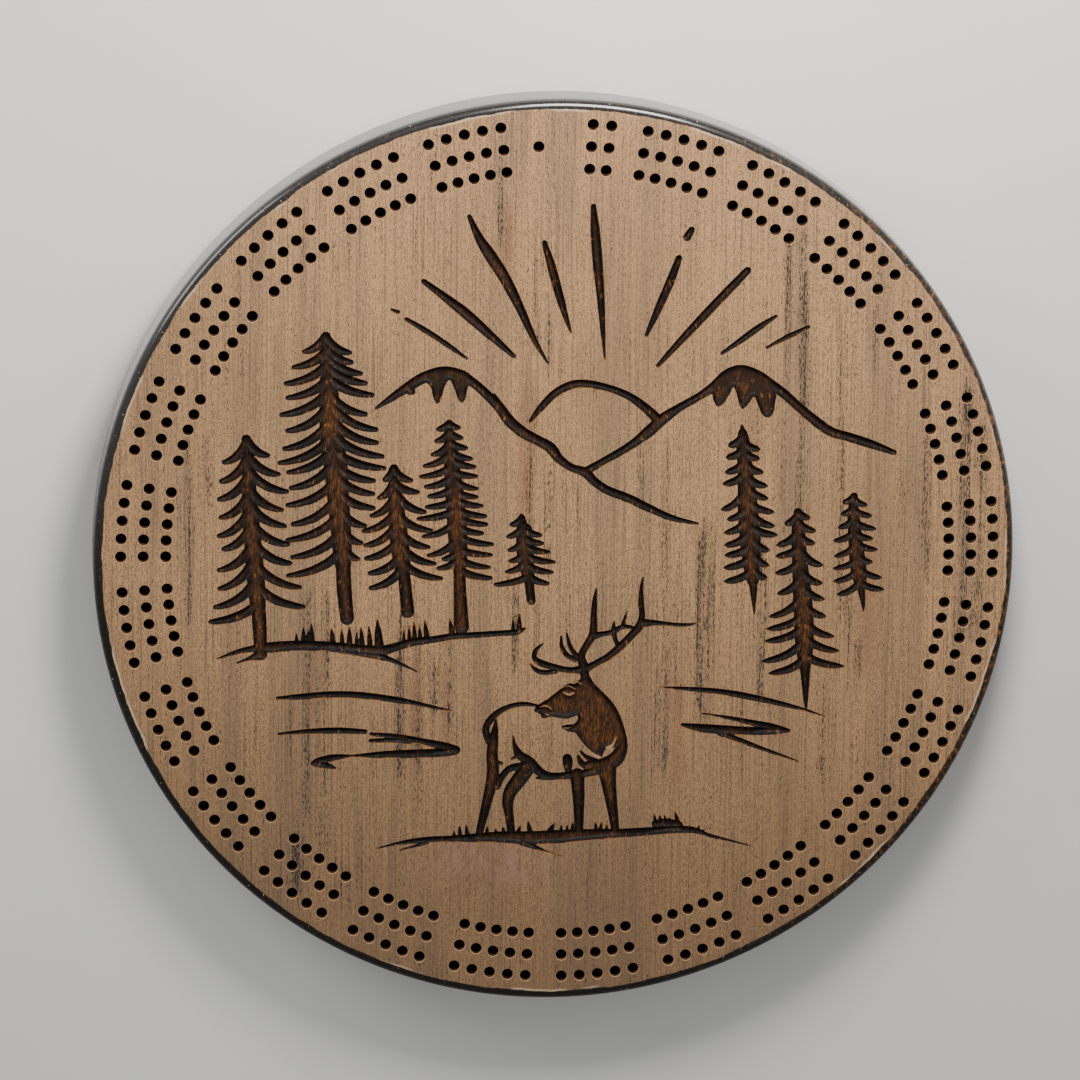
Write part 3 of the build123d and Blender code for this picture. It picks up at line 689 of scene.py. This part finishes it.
def face_patch(shell, low_x, high_x, holes):
    """The carved face between the rim's inner edge and the glue lines; returns its points."""
    sketch = Sketch()
    sketch.loop(outline_loop(low_x, high_x, 0))
    for x, y in holes:
        sketch.loop(ring(x, y, HOLE_RADIUS + HOLE_WEAR, 0)[:, :2])
    # the carving's edge, as far as this stave reaches
    reach = CELL * 2
    near = (EDGE_POINTS[:, 0] > low_x - reach) & (EDGE_POINTS[:, 0] < high_x + reach)
    ids, segments = np.unique(EDGE_SEGMENTS[near[EDGE_SEGMENTS].all(1)], return_inverse=True)
    sketch.add(EDGE_POINTS[ids], segments.reshape(-1, 2))
    # points on the carved floors, with every second row shifted by half a step
    rows = np.arange(BOTTOM, TOP, FLOOR_POINTS * FLOOR_ROWS)
    start, end = max(low_x, LEFT) + SEAM_CLEAR, min(high_x, RIGHT) - SEAM_CLEAR
    across = np.arange(start, end, FLOOR_POINTS)
    xs, ys = np.meshgrid(across, rows)
    xs = xs + (np.arange(len(rows)) % 2 * FLOOR_POINTS / 2)[:, None]
    use = (sample(inside, xs, ys) > FLOOR_CLEAR) & (xs < high_x - SEAM_CLEAR / 2)
    sketch.add(columns(xs[use], ys[use]))
    # sparse points on the flat face
    xs, ys = np.meshgrid(np.arange(low_x + 1, high_x - 1, FACE_POINTS[0]),
                         np.arange(-RADIUS, RADIUS, FACE_POINTS[1]))
    flat_radius = RADIUS - EDGE_ROUND - RIM_CLEAR
    use = (np.hypot(xs, ys) < flat_radius) & (sample(inside, xs, ys) < -FACE_CLEAR)
    sketch.add(columns(xs[use], ys[use]))
    flat, faces = sketch.triangles()
    middle = flat[faces].mean(1)
    faces = faces[(middle[:, 0] > low_x) & (middle[:, 0] < high_x)]
    faces = cut_out(flat, faces, holes, HOLE_RADIUS + HOLE_WEAR)
    # sink the carved points; those on the carving's edge stay on the face
    x, y = flat.T
    cut = np.where(sample(inside, x, y) < EDGE_CLEAR, 0, sample(depth, x, y))
    middle = flat[faces].mean(1)
    carved = sample(inside, middle[:, 0], middle[:, 1]) > 0
    solid = columns(x, y, FACE - cut)
    shell.add(solid, faces[~carved], FACE_KIND)
    shell.add(solid, faces[carved], CARVED_KIND)
    return solid[np.unique(faces)]


def seam_wall(shell, x, top_points, holes, outward):
    """The glued side of a stave: a flat patch between the carved face, the rim and the back."""
    top = top_points[np.abs(top_points[:, 0] - x) < SLACK / 10]
    top = top[np.argsort(top[:, 1])][:, 1:]
    profile = np.array([(sqrt((RADIUS - inset) ** 2 - x**2), z) for inset, z in RIM_PROFILE])
    base = columns(seam_points(x, -profile[-1, 0], profile[-1, 0]), BACK)
    sketch = Sketch()
    # round the wall: along the carved face, down one end, along the back and up the other end
    sketch.loop(np.vstack([top[::-1], profile[1:] * (-1, 1), base, profile[:0:-1]]))
    # the peg holes that cross the glue line are left open
    hole_floor = FACE - HOLE_DEPTH
    chords = []
    for hole_x, hole_y in holes[np.abs(holes[:, 0] - x) < HOLE_RADIUS]:
        half = sqrt(HOLE_RADIUS**2 - (hole_x - x) ** 2)
        low_y, high_y = hole_y - half, hole_y + half
        chords.append((low_y, high_y))
        sketch.loop([(low_y, FACE + 1), (high_y, FACE + 1), (high_y, hole_floor),
                     (low_y, hole_floor)])
    flat, faces = sketch.triangles()
    y, z = flat[faces].mean(1).T
    ceiling = np.interp(y, top[:, 0], top[:, 1])
    reach = np.interp(z, profile[::-1, 1], profile[::-1, 0])
    keep = ((z < ceiling) | (np.abs(y) > top[-1, 0])) & (np.abs(y) < reach + SLACK)
    for low_y, high_y in chords:
        keep &= ~((y > low_y) & (y < high_y) & (z > hole_floor))
    faces = faces[keep]
    shell.add(columns(x, *flat.T), faces if outward > 0 else faces[:, ::-1], BACK_KIND)


def pocket_loop(z):
    """The pocket's outline: a rectangle with rounded corners."""
    loop = []
    for quarter, (side_x, side_y) in enumerate(((1, 1), (-1, 1), (-1, -1), (1, -1))):
        turn = pi / 2 * (quarter + np.arange(CORNER_STEPS + 1) / CORNER_STEPS)
        loop.append(columns(side_x * POCKET_INNER[0] + POCKET_CORNER * np.cos(turn),
                            side_y * POCKET_INNER[1] + POCKET_CORNER * np.sin(turn), z))
    return np.vstack(loop)


def back_patch(shell, low_x, high_x):
    """The flat back, with the peg pocket and the pilot holes."""
    pilots = [pilot for pilot in PILOTS if low_x < pilot[0] < high_x]
    sketch = Sketch()
    sketch.loop(outline_loop(low_x, high_x, -1))
    for x, y, radius, _ in pilots:
        sketch.loop(ring(x, y, radius, 0)[:, :2])
    if low_x < 0 < high_x:
        mouth, floor = pocket_loop(BACK), pocket_loop(BACK + POCKET_DEPTH)
        sketch.loop(mouth[:, :2])
    flat, faces = sketch.triangles()
    for x, y, radius, _ in pilots:
        faces = cut_out(flat, faces, [(x, y)], radius)
    if low_x < 0 < high_x:
        past = np.maximum(np.abs(flat[faces].mean(1)) - POCKET_INNER, 0)
        faces = faces[np.hypot(*past.T) > POCKET_CORNER - SLACK]
        shell.strip(floor, mouth, BACK_KIND, closed=True)
        shell.fan(floor[::-1], [[0, 0, BACK + POCKET_DEPTH]], BACK_KIND)
    shell.add(columns(*flat.T, BACK), faces[:, ::-1], BACK_KIND)
    for x, y, radius, deep in pilots:
        drill(shell, x, y, radius, BACK, BACK + deep, 0.0, BACK_KIND)


# weathered streaks along the grain: x, low y, high y, half width, strength
DARK_STREAKS = table("""
81 42 116 1.6 .8  75.5 44 112 1.4 .8  -3 56 146 1.2 .55  80.5 4 58 1.5 .5  75 2 60 1.4 .45
-2.5 -10 38 1.4 .6  -51.3 -80 -14 1.5 .85  -45.4 -98 -6 1.4 .65  48.3 -62 14 1.6 .75
36.7 -78 46 1.6 .65  94.3 -50 88 1.4 .55  -81.9 -96 -4 2 .6  -76 -108 -6 1.8 .55
-8.5 -8 64 1.3 .65  136 -36 62 2 .75  51.2 -66 20 1.4 .6  -34.8 -70 -22 1.2 .7  -7 62 116 1.2 .55
-120.7 -28 46 1.6 .5  -19 98 146 1.4 .6  68.5 -56 14 1.5 .55  -13.2 -46 -6 1.2 .6
41.3 -58 6 1.3 .5  7.5 -4 34 1.2 .5  -60 -100 -46 1.4 .45  -41.5 104 142 1.4 .55
-11.9 116 148 1.1 .5  97.3 -52 -6 1.4 .45  -115 15 48 1.3 .5  28.6 13 48 1.2 .5  67 24 56 1.3 .5
-40 -58 -30 1.2 .5  141 -34 52 1.6 .55  -15.2 64 98 1.2 .5  -9.4 -32 -6 1.1 .5  -103 72 104 1.3 .45
123 -14 46 2.4 .55  101.5 -50 -24 1.3 .45  -88.5 -84 -46 1.6 .45  -56 -80 -58 1.2 .45
-86 -120 -88 3.4 .8  -70 -128 -96 2.2 .5  104 52 90 2 .4  112 -96 -50 2.4 .4  35 -84 -30 2.2 .6
62 -88 -40 1.6 .5  89 -84 -36 1.4 .45  22 92 134 1.2 .4  52 96 124 1.4 .4  12 -128 -102 1.8 .4
""", 5)[0]
WARM_STREAKS = table("""
-10 8 62 2.2 .8  -17 90 124 2 .7  -46 -74 -32 1.8 .7  -36 -74 -32 1.4 .6  41 -84 -36 1.8 .6
-26 -118 -94 9 .5  64 24 60 2.4 .5  -80 -60 -20 2 .4  104 -46 10 3 .4
""", 5)[0]
SCUFFS = table("""
-28 -113 -92 9 .75  -16 -116 -95 9 .6
""", 5)[0]
END_FADE = 9.0         # length over which a streak fades out at either end
STREAK_SPREAD = 1.2    # how much wider than its half width a streak fades out sideways
EDGE_REACH = 3         # distance from the carving's edge at which its mark is full
SHARP_ANGLE = 38


def streaks(x, y, rows):
    """How strongly the streaks mark each place, from 0 to 1."""
    total = np.zeros_like(x)
    for middle, low, high, half, strength in rows:
        across = np.exp(-(((x - middle) / (half * STREAK_SPREAD)) ** 2))
        along = np.clip((y - low) / END_FADE, 0, 1) * np.clip((high - y) / END_FADE, 0, 1)
        total = np.maximum(total, strength * across * along)
    return total


def add_object(name, data):
    thing = bpy.data.objects.new(name, data)
    bpy.context.scene.collection.objects.link(thing)
    return thing


def build_mesh(name, points, faces, kinds, materials):
    """A smooth-shaded mesh in metres, with hard edges kept, and each kind's material."""
    mesh = bpy.data.meshes.new(name)
    mesh.from_pydata((points * MM).tolist(), [], faces.tolist())
    for material in materials:
        mesh.materials.append(material)
    mesh.polygons.foreach_set("material_index", kinds.astype(np.int32))
    mesh.polygons.foreach_set("use_smooth", np.ones(len(faces), bool))
    x, y = points[:, 0], points[:, 1]
    marks = {
        "edge": np.clip(sample(inside, x, y), 0, EDGE_REACH) / EDGE_REACH,
        "ridge": sample(ridge, x, y),
        "dark": streaks(x, y, DARK_STREAKS),
        "warm": streaks(x, y, WARM_STREAKS),
        "scuff": streaks(x, y, SCUFFS),
    }
    for mark, values in marks.items():
        data = mesh.attributes.new(mark, "FLOAT", "POINT").data
        data.foreach_set("value", values.astype(np.float32))
    mesh.update()
    mesh.set_sharp_from_angle(angle=radians(SHARP_ANGLE))
    return add_object(name, mesh)


def build_stave(node, low_x, high_x, materials):
    """One stave with its carving, holes, rim, back and glued sides, in place of its CAD node."""
    shell = Shell()
    reach = HOLE_RADIUS + HOLE_WEAR
    holes = HOLES[(HOLES[:, 0] > low_x - reach) & (HOLES[:, 0] < high_x + reach)]
    top_points = face_patch(shell, low_x, high_x, holes)
    for x, y in holes[(holes[:, 0] > low_x) & (holes[:, 0] < high_x)]:
        drill(shell, x, y, HOLE_RADIUS, FACE, FACE - HOLE_DEPTH, HOLE_WEAR, HOLE_KIND)
    for arc in arcs(low_x, high_x):
        rows = rim_rows(arc)
        for upper, lower in zip(rows, rows[1:]):
            shell.strip(lower, upper, RIM_KIND)
    back_patch(shell, low_x, high_x)
    for x, outward in ((low_x, -1), (high_x, 1)):
        if abs(x) < RADIUS - TINY:
            seam_wall(shell, x, top_points, holes, outward)
    piece = build_mesh(node.replace("stave", "carved"), *shell.welded(), materials)
    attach(piece, "board")
    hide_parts(node)


# ---- Materials ----
class Finish:
    """A material whose colour, roughness and bump come from procedural nodes."""

    def __init__(self, name, metallic=0.0, **sockets):
        self.material = bpy.data.materials.new(name)
        self.material.use_nodes = True
        self.tree = self.material.node_tree
        self.shader = self.tree.nodes["Principled BSDF"]
        self.shader.inputs["Metallic"].default_value = metallic
        for socket, value in sockets.items():
            self.shader.inputs[socket.replace("_", " ")].default_value = value
        self.place = self.tree.nodes.new("ShaderNodeTexCoord").outputs["Object"]

    def node(self, kind, inputs, output=0, **settings):
        """A node with its settings, its inputs linked or set, and one output returned."""
        node = self.tree.nodes.new(kind)
        for setting, value in settings.items():
            setattr(node, setting, value)
        for socket, value in inputs.items():
            if isinstance(value, bpy.types.NodeSocket):
                self.tree.links.new(value, node.inputs[socket])
            else:
                node.inputs[socket].default_value = value
        return node.outputs[output]

    def along(self, axis):
        """The place along one axis, in metres."""
        return self.node("ShaderNodeSeparateXYZ", {0: self.place}, axis)

    def stretched(self, x, y, z):
        return self.node("ShaderNodeMapping", {"Vector": self.place, "Scale": (x, y, z)})

    def noise(self, x, y, z, detail=2.0, roughness=0.5):
        """Noise with its own number of features per metre along each axis."""
        inputs = {"Vector": self.stretched(x, y, z), "Scale": 1.0, "Detail": detail,
                  "Roughness": roughness}
        return self.node("ShaderNodeTexNoise", inputs)

    def attribute(self, name):
        return self.node("ShaderNodeAttribute", {}, "Fac", attribute_name=name)

    def product(self, first, second):
        return self.node("ShaderNodeMath", {0: first, 1: second}, operation="MULTIPLY")

    def total(self, *parts, start=0.0):
        """A start value, plus each part's value times its weight."""
        for value, weight in parts:
            inputs = {0: value, 1: weight, 2: start}
            start = self.node("ShaderNodeMath", inputs, operation="MULTIPLY_ADD")
        return start

    def band(self, value, low, high, start=0.0, end=1.0):
        """A smooth step from start to end as a value goes from low to high."""
        inputs = {"Value": value, "From Min": low, "From Max": high}
        inputs.update({"To Min": start, "To Max": end})
        return self.node("ShaderNodeMapRange", inputs, interpolation_type="SMOOTHSTEP")

    def blend(self, share, first, second):
        """A mix of two colours, each a socket or three numbers."""
        inputs = {0: share}
        for socket, colour in ((6, first), (7, second)):
            linked = isinstance(colour, bpy.types.NodeSocket)
            inputs[socket] = colour if linked else (*colour, 1.0)
        return self.node("ShaderNodeMix", inputs, 2, data_type="RGBA")

    def layers(self, colour, *layers):
        """A colour under layers, each (value, low, high, share, colour of the layer)."""
        for value, low, high, share, cover in layers:
            colour = self.blend(self.band(value, low, high, 0, share), colour, cover)
        return colour

    def finish(self, colour, roughness, height, distance, strength=1.0):
        """Links the colour, roughness and bump, with the bump's depth in metres."""
        inputs = {"Height": height, "Distance": distance, "Strength": strength}
        bump = self.node("ShaderNodeBump", inputs)
        self.tree.links.new(colour, self.shader.inputs["Base Color"])
        self.tree.links.new(roughness, self.shader.inputs["Roughness"])
        self.tree.links.new(bump, self.shader.inputs["Normal"])
        return self.material


LIGHT_TAN = (0.52, 0.305, 0.150)
MID_TAN = (0.215, 0.122, 0.062)
GREY_TAN = (0.118, 0.092, 0.068)
SHADE_TAN = (0.106, 0.066, 0.034)
ORANGE = (0.42, 0.17, 0.05)
REDDISH = (0.17, 0.062, 0.030)
PORE = (0.012, 0.010, 0.010)
UMBER = (0.0055, 0.0042, 0.0036)
BROWN_GLAZE = (0.022, 0.0095, 0.0042)
AMBER = (0.108, 0.040, 0.0090)
AMBER_HIGH = (0.31, 0.118, 0.029)
BLACK_PAINT = (0.013, 0.0115, 0.0105)
BROWN_PAINT = (0.075, 0.034, 0.014)
BARE = (0.62, 0.47, 0.31)
PALE_PINK = (0.33, 0.172, 0.138)
DARK_BORE = (0.035, 0.019, 0.012)
LIGHT_BORE = (0.105, 0.055, 0.032)
PORE_DEPTH = -1.4


def wood_grain(finish, dark, warm):
    """Tan fibres, greyer weathered bands, black open pores and painted shade lower down: colour,
    pore mask and fibres.
    """
    fibre = finish.noise(3100, 540, 300, detail=3, roughness=0.8)
    fleck = finish.noise(2200, 24, 200, detail=2, roughness=0.6)
    broad = finish.noise(110, 5, 20, detail=3)
    cloud = finish.noise(16, 12, 10, detail=2)
    sand = finish.noise(3300, 1900, 300, detail=1)
    grain = finish.total((fleck, 0.26), (fibre, 0.44), (sand, 0.42))
    # painted shade: the wood is made darker towards the bottom of the picture, where the light
    # falls off
    shade_height = finish.total((cloud, 0.06), (finish.along("X"), 0.10), start=finish.along("Y"))
    colour = finish.layers(
        MID_TAN,
        (grain, 0.47, 0.65, 1, LIGHT_TAN),
        (fleck, 0.53, 0.72, 0.26, ORANGE),
        (fleck, 0.47, 0.30, 0.46, GREY_TAN),
        (broad, 0.45, 0.70, 0.36, GREY_TAN),
        (cloud, 0.42, 0.75, 0.28, MID_TAN),
        (shade_height, 0.03, -0.11, 0.52, SHADE_TAN),
    )
    colour = finish.blend(finish.product(warm, finish.band(fleck, 0.38, 0.60)), colour, REDDISH)
    # open pores lie in clusters, and closest in the dark streaks
    cluster = finish.noise(420, 17, 60, detail=3, roughness=0.6)
    density = finish.band(finish.total((cluster, 1.7), (dark, 1.25), start=-0.95), 0.0, 1.0)
    colour = finish.blend(finish.product(density, 0.42), colour, GREY_TAN)
    line = finish.noise(2800, 24, 300, detail=1)
    dash = finish.noise(3600, 620, 300, detail=1, roughness=0.6)
    pores = finish.band(finish.total((dash, 0.62), (line, 0.44), (density, 0.165)), 0.655, 0.715)
    return finish.blend(finish.product(pores, 0.86), colour, PORE), pores, fibre


def face_wood(name, coat):
    """The stained wood, with the black paint of the rounded edge worn through in places."""
    finish = Finish(name, Specular_IOR_Level=0.35 - 0.2 * coat, Coat_Weight=coat,
                    Coat_Roughness=0.16, Coat_IOR=1.6)
    colour, pores, fibre = wood_grain(finish, finish.attribute("dark"), finish.attribute("warm"))
    rubbing = finish.band(finish.noise(420, 160, 200, detail=3, roughness=0.6), 0.36, 0.64)
    scuffed = finish.product(finish.attribute("scuff"), rubbing)
    colour = finish.blend(scuffed, colour, PALE_PINK)
    # the paint's ragged inner edge, which lies further out at the upper right
    side, ahead = finish.along("X"), finish.along("Y")
    flat = finish.stretched(1, 1, 0)
    radius = finish.node("ShaderNodeVectorMath", {0: flat}, "Value", operation="LENGTH")
    wobble = finish.noise(95, 95, 95, detail=4, roughness=0.65)
    narrow = finish.product(finish.band(side, 0.05, 0.14, 0, 0.0008),
                            finish.band(ahead, -0.07, -0.02))
    radius = finish.total((wobble, 0.0020), (narrow, -1), start=radius)
    edge = (RADIUS - EDGE_ROUND) * MM + 0.0008
    brink = finish.band(radius, edge - 0.0009, edge - 0.0002)
    bare_patches = finish.band(finish.noise(45, 45, 45, detail=3), 0.50, 0.60, 0, 0.7)
    colour = finish.blend(finish.product(brink, bare_patches), colour, BARE)
    worn = finish.noise(650, 420, 500, detail=4, roughness=0.75)
    worn = finish.total((finish.band(side, 0.0, 0.14), 0.12), start=worn)
    speck = finish.noise(1100, 900, 1100, detail=2)
    paint = finish.layers(
        BLACK_PAINT,
        (worn, 0.57, 0.70, 1, BROWN_PAINT),
        (worn, 0.68, 0.78, 0.8, AMBER_HIGH),
        (speck, 0.70, 0.76, 0.7, BARE),
    )
    painted = finish.band(radius, edge - 0.0001, edge + 0.0002)
    colour = finish.blend(painted, colour, paint)
    rough_wood = finish.band(fibre, 0.3, 0.7, 0.62, 0.48)
    rough_paint = finish.band(worn, 0.4, 0.7, 0.30, 0.5)
    roughness = finish.node("ShaderNodeMix", {0: painted, 2: rough_wood, 3: rough_paint})
    if coat:
        # the gloss is gone towards the bottom of the picture
        gloss = finish.band(ahead, -0.03, 0.06, 0, coat)
        finish.tree.links.new(gloss, finish.shader.inputs["Coat Weight"])
    relief = finish.total((pores, PORE_DEPTH), start=fibre)
    return finish.finish(colour, roughness, relief, 0.00012, 0.55)


def carved_wood():
    """Dark glaze in the carving, wiped thin in patches over the middle of the wider cuts."""
    finish = Finish("glazed_carving", Specular_IOR_Level=0.24)
    inward = finish.attribute("edge")
    tear = finish.noise(700, 330, 300, detail=4, roughness=0.65)
    patch = finish.noise(130, 75, 100, detail=3)
    fibre = finish.noise(2400, 330, 300, detail=3, roughness=0.7)
    stray = finish.noise(900, 420, 300, detail=3, roughness=0.7)
    inside_cut = finish.band(inward, 0.06, 0.80, 0, 0.82)
    wiped = finish.total((patch, 0.9), (tear, 0.55), start=inside_cut)
    glaze = finish.layers(UMBER, (wiped, 0.80, 1.20, 1, BROWN_GLAZE))
    amber = finish.layers(
        BROWN_GLAZE,
        (fibre, 0.40, 0.62, 1, AMBER),
        (fibre, 0.60, 0.74, 0.7, AMBER_HIGH),
    )
    # less of the amber shows in the upper half of the picture
    uneven = finish.product(finish.band(finish.along("Y"), -0.02, 0.015),
                            finish.band(patch, 0.56, 0.44))
    wiped = finish.total((uneven, -0.34), start=wiped)
    colour = finish.layers(
        glaze,
        (wiped, 1.08, 1.56, 1, amber),
        (stray, 0.56, 0.66, 0.75, AMBER),
        (stray, 0.64, 0.72, 0.7, AMBER_HIGH),
        (finish.attribute("ridge"), 0.40, 0.90, 0.55, LIGHT_TAN),
    )
    # the edges of the cuts are rubbed lighter in places; in part this is a painted highlight
    # standing in for glints along the lit edges
    rubbed_and_glint = finish.product(finish.band(inward, 0.075, 0.015), finish.band(patch, 0.46, 0.57))
    colour = finish.blend(finish.product(rubbed_and_glint, 0.8), colour, AMBER_HIGH)
    roughness = finish.band(tear, 0.3, 0.7, 0.48, 0.68)
    relief = finish.total((tear, 1.5), start=fibre)
    return finish.finish(colour, roughness, relief, 0.00028, 0.75)


def hole_wood():
    """Worn bare wood at a hole's mouth, lightened as a painted highlight, and brown walls
    darkening to a dark bottom as painted shade.
    """
    finish = Finish("drilled_wood", Specular_IOR_Level=0.2)
    height = finish.along("Z")
    scorch = finish.noise(700, 700, 500, detail=3)
    face = FACE * MM
    bore = finish.layers(DARK_BORE, (scorch, 0.35, 0.65, 1, LIGHT_BORE))
    mouth = finish.total((scorch, 0.00008), start=height)
    colour = finish.layers(
        UMBER,
        # painted shade: the brown bore darkens to umber towards the bottom of the hole
        (height, face - 0.0075, face - 0.0018, 1, bore),
        # the light mouth is worn bare wood, lightened further as a painted highlight
        (mouth, face - 0.00024, face - 0.00010, 1, LIGHT_TAN),
    )
    roughness = finish.band(scorch, 0.3, 0.7, 0.6, 0.8)
    return finish.finish(colour, roughness, scorch, 0.0001, 0.5)


def back_wood():
    """The back: the same wood under a thinner, darker coat of stain."""
    finish = Finish("stained_back", Specular_IOR_Level=0.35)
    faint = finish.band(finish.noise(120, 9, 30, detail=2), 0.55, 0.75, 0, 0.5)
    colour, pores, fibre = wood_grain(finish, faint, faint)
    greyed = finish.band(finish.noise(30, 14, 30), 0.2, 0.8, 0.35, 0.7)
    colour = finish.blend(greyed, colour, GREY_TAN)
    roughness = finish.band(fibre, 0.3, 0.7, 0.72, 0.58)
    relief = finish.total((pores, PORE_DEPTH), start=fibre)
    return finish.finish(colour, roughness, relief, 0.00012, 0.6)


def metal(name, bright, dull, smooth_low, smooth_high, brush, metallic=1.0, dulled=(0.45, 0.75)):
    """Brushed metal with uneven tarnish; brush is the features per metre along x, y and z."""
    finish = Finish(name, metallic=metallic)
    tarnish = finish.noise(140, 140, 140, detail=5, roughness=0.6)
    lines = finish.noise(*brush, detail=2)
    handled = finish.noise(45, 45, 45, detail=2)
    colour = finish.layers(bright, (tarnish, *dulled, 1, dull))
    uneven = finish.total((handled, 0.6), (lines, 0.5))
    roughness = finish.band(uneven, 0.35, 0.75, smooth_low, smooth_high)
    return finish.finish(colour, roughness, lines, 0.00003, 0.4)


def moulded(name, first, second, smooth_low, smooth_high, grain):
    """Rubber or plastic with a moulded skin and slight fading."""
    finish = Finish(name, Specular_IOR_Level=0.35)
    skin = finish.noise(grain, grain, grain, detail=3)
    fade = finish.noise(110, 110, 110, detail=4)
    colour = finish.layers(first, (fade, 0.35, 0.7, 1, second))
    roughness = finish.band(skin, 0.3, 0.7, smooth_low, smooth_high)
    return finish.finish(colour, roughness, skin, 0.00006, 0.5)


def dress(names, material):
    """Gives CAD nodes their finished material."""
    for name in names:
        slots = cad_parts[name].data.materials
        for index in range(len(slots)):
            slots[index] = material


def three_pegs(finish):
    return [f"peg_{finish}_{peg}" for peg in (1, 2, 3)]


BRUSHED_ALONG_Y = (2600, 60, 2600)
BLASTED = (900, 900, 900)
dress(
    ["cover_plate", *three_pegs("brass")],
    metal("brass", (0.78, 0.56, 0.24), (0.44, 0.28, 0.11), 0.24, 0.42, BRUSHED_ALONG_Y),
)
dress(
    ["pivot_washer", *three_pegs("steel")],
    metal("bright_steel", (0.66, 0.66, 0.65), (0.42, 0.41, 0.39), 0.22, 0.40, BRUSHED_ALONG_Y),
)
dress(
    three_pegs("black"),
    metal("black_metal", (0.030, 0.030, 0.033), (0.075, 0.072, 0.070), 0.30, 0.48,
          BRUSHED_ALONG_Y, metallic=0.6),
)
dress(
    ["foot_screws", "pivot_screw", "keeper_screw"],
    metal("dark_steel", (0.050, 0.050, 0.055), (0.17, 0.155, 0.14), 0.32, 0.5, BLASTED,
          metallic=0.85, dulled=(0.5, 0.7)),
)
dress(
    [f"foot_{row}_{side}" for row in ("front", "rear") for side in ("left", "right")],
    moulded("foot_rubber", (0.020, 0.020, 0.021), (0.045, 0.043, 0.041), 0.62, 0.85, 2600),
)
dress(
    ["pivot_spacer"],
    moulded("washer_nylon", (0.80, 0.77, 0.68), (0.70, 0.66, 0.56), 0.38, 0.55, 1500),
)

# in the order of FACE_KIND, CARVED_KIND, HOLE_KIND, BACK_KIND and RIM_KIND
stave_materials = [face_wood("stained_face", 0.0), carved_wood(), hole_wood(), back_wood(),
                   face_wood("painted_rim", 1.0)]
stave_edges = [-RADIUS, *SEAMS, RADIUS]
for stave, stave_left, stave_right in zip(STAVES, stave_edges, stave_edges[1:]):
    build_stave(stave, stave_left, stave_right, stave_materials)


# ---- Floor, light and camera ----
FLOOR_HALF = 4.0
FLOOR_GAP = 0.0001
# the camera's place and axes, solved from the centres of the holes in the photograph
CAMERA_PLACE = (-0.17532, 0.52554, 2.23811 + FACE * MM)
CAMERA_RIGHT = (0.99723, 0.00845, 0.07384)
CAMERA_UP = (0.00845, 0.97416, -0.22568)
CAMERA_BACK = (-0.07384, 0.22568, 0.97140)
CAMERA_LENS, SENSOR_WIDTH, FARTHEST = 232.9, 36, 20


def build_floor():
    """A large pale floor, faintly mottled so that it isn't a flat colour."""
    mesh = bpy.data.meshes.new("floor")
    corners = [(side_x * FLOOR_HALF, side_y * FLOOR_HALF, -FLOOR_GAP)
               for side_x, side_y in ((-1, -1), (1, -1), (1, 1), (-1, 1))]
    mesh.from_pydata(corners, [], [(0, 1, 2, 3)])
    paint = Finish("pale_floor", Specular_IOR_Level=0.3)
    mottle = paint.noise(9, 9, 9, detail=4)
    colour = paint.layers((0.80, 0.80, 0.79), (mottle, 0.3, 0.7, 1, (0.84, 0.84, 0.83)))
    roughness = paint.band(mottle, 0.3, 0.7, 0.80, 0.86)
    grit = paint.noise(800, 800, 800)
    mesh.materials.append(paint.finish(colour, roughness, grit, 0.00002, 0.1))
    floor = add_object("floor", mesh)


def add_light(name, place, size, power, colour=(1, 1, 1)):
    """A square soft light aimed at the middle of the board, which the camera doesn't see."""
    light = bpy.data.lights.new(name, "AREA")
    light.size = size
    light.energy = power
    light.color = colour
    lamp = add_object(name, light)
    lamp.location = place
    lamp.visible_camera = False
    lamp.rotation_euler = (-Vector(place)).to_track_quat("-Z", "Y").to_euler()


def add_world(strength):
    """An even white light from all round."""
    world = bpy.data.worlds.new("room")
    world.use_nodes = True
    background = world.node_tree.nodes["Background"]
    background.inputs["Color"].default_value = (1, 1, 1, 1)
    background.inputs["Strength"].default_value = strength
    bpy.context.scene.world = world


def add_camera():
    """The camera at the photograph's angle, distance and lens."""
    camera = bpy.data.cameras.new("camera")
    camera.sensor_width = SENSOR_WIDTH
    camera.lens = CAMERA_LENS
    camera.clip_end = FARTHEST
    eye = add_object("camera", camera)
    axes = (Vector(CAMERA_RIGHT), Vector(CAMERA_UP), Vector(CAMERA_BACK))
    matrix = Matrix(axes).transposed().to_4x4()
    matrix.translation = Vector(CAMERA_PLACE)
    eye.matrix_world = matrix
    bpy.context.scene.camera = eye


build_floor()
add_light("key", (0.08, 0.42, 0.34), 0.18, 3.7, (1.0, 0.972, 0.91))
add_light("rim", (-0.62, 0.45, 0.34), 0.35, 2.2)
add_world(0.42)
add_camera()
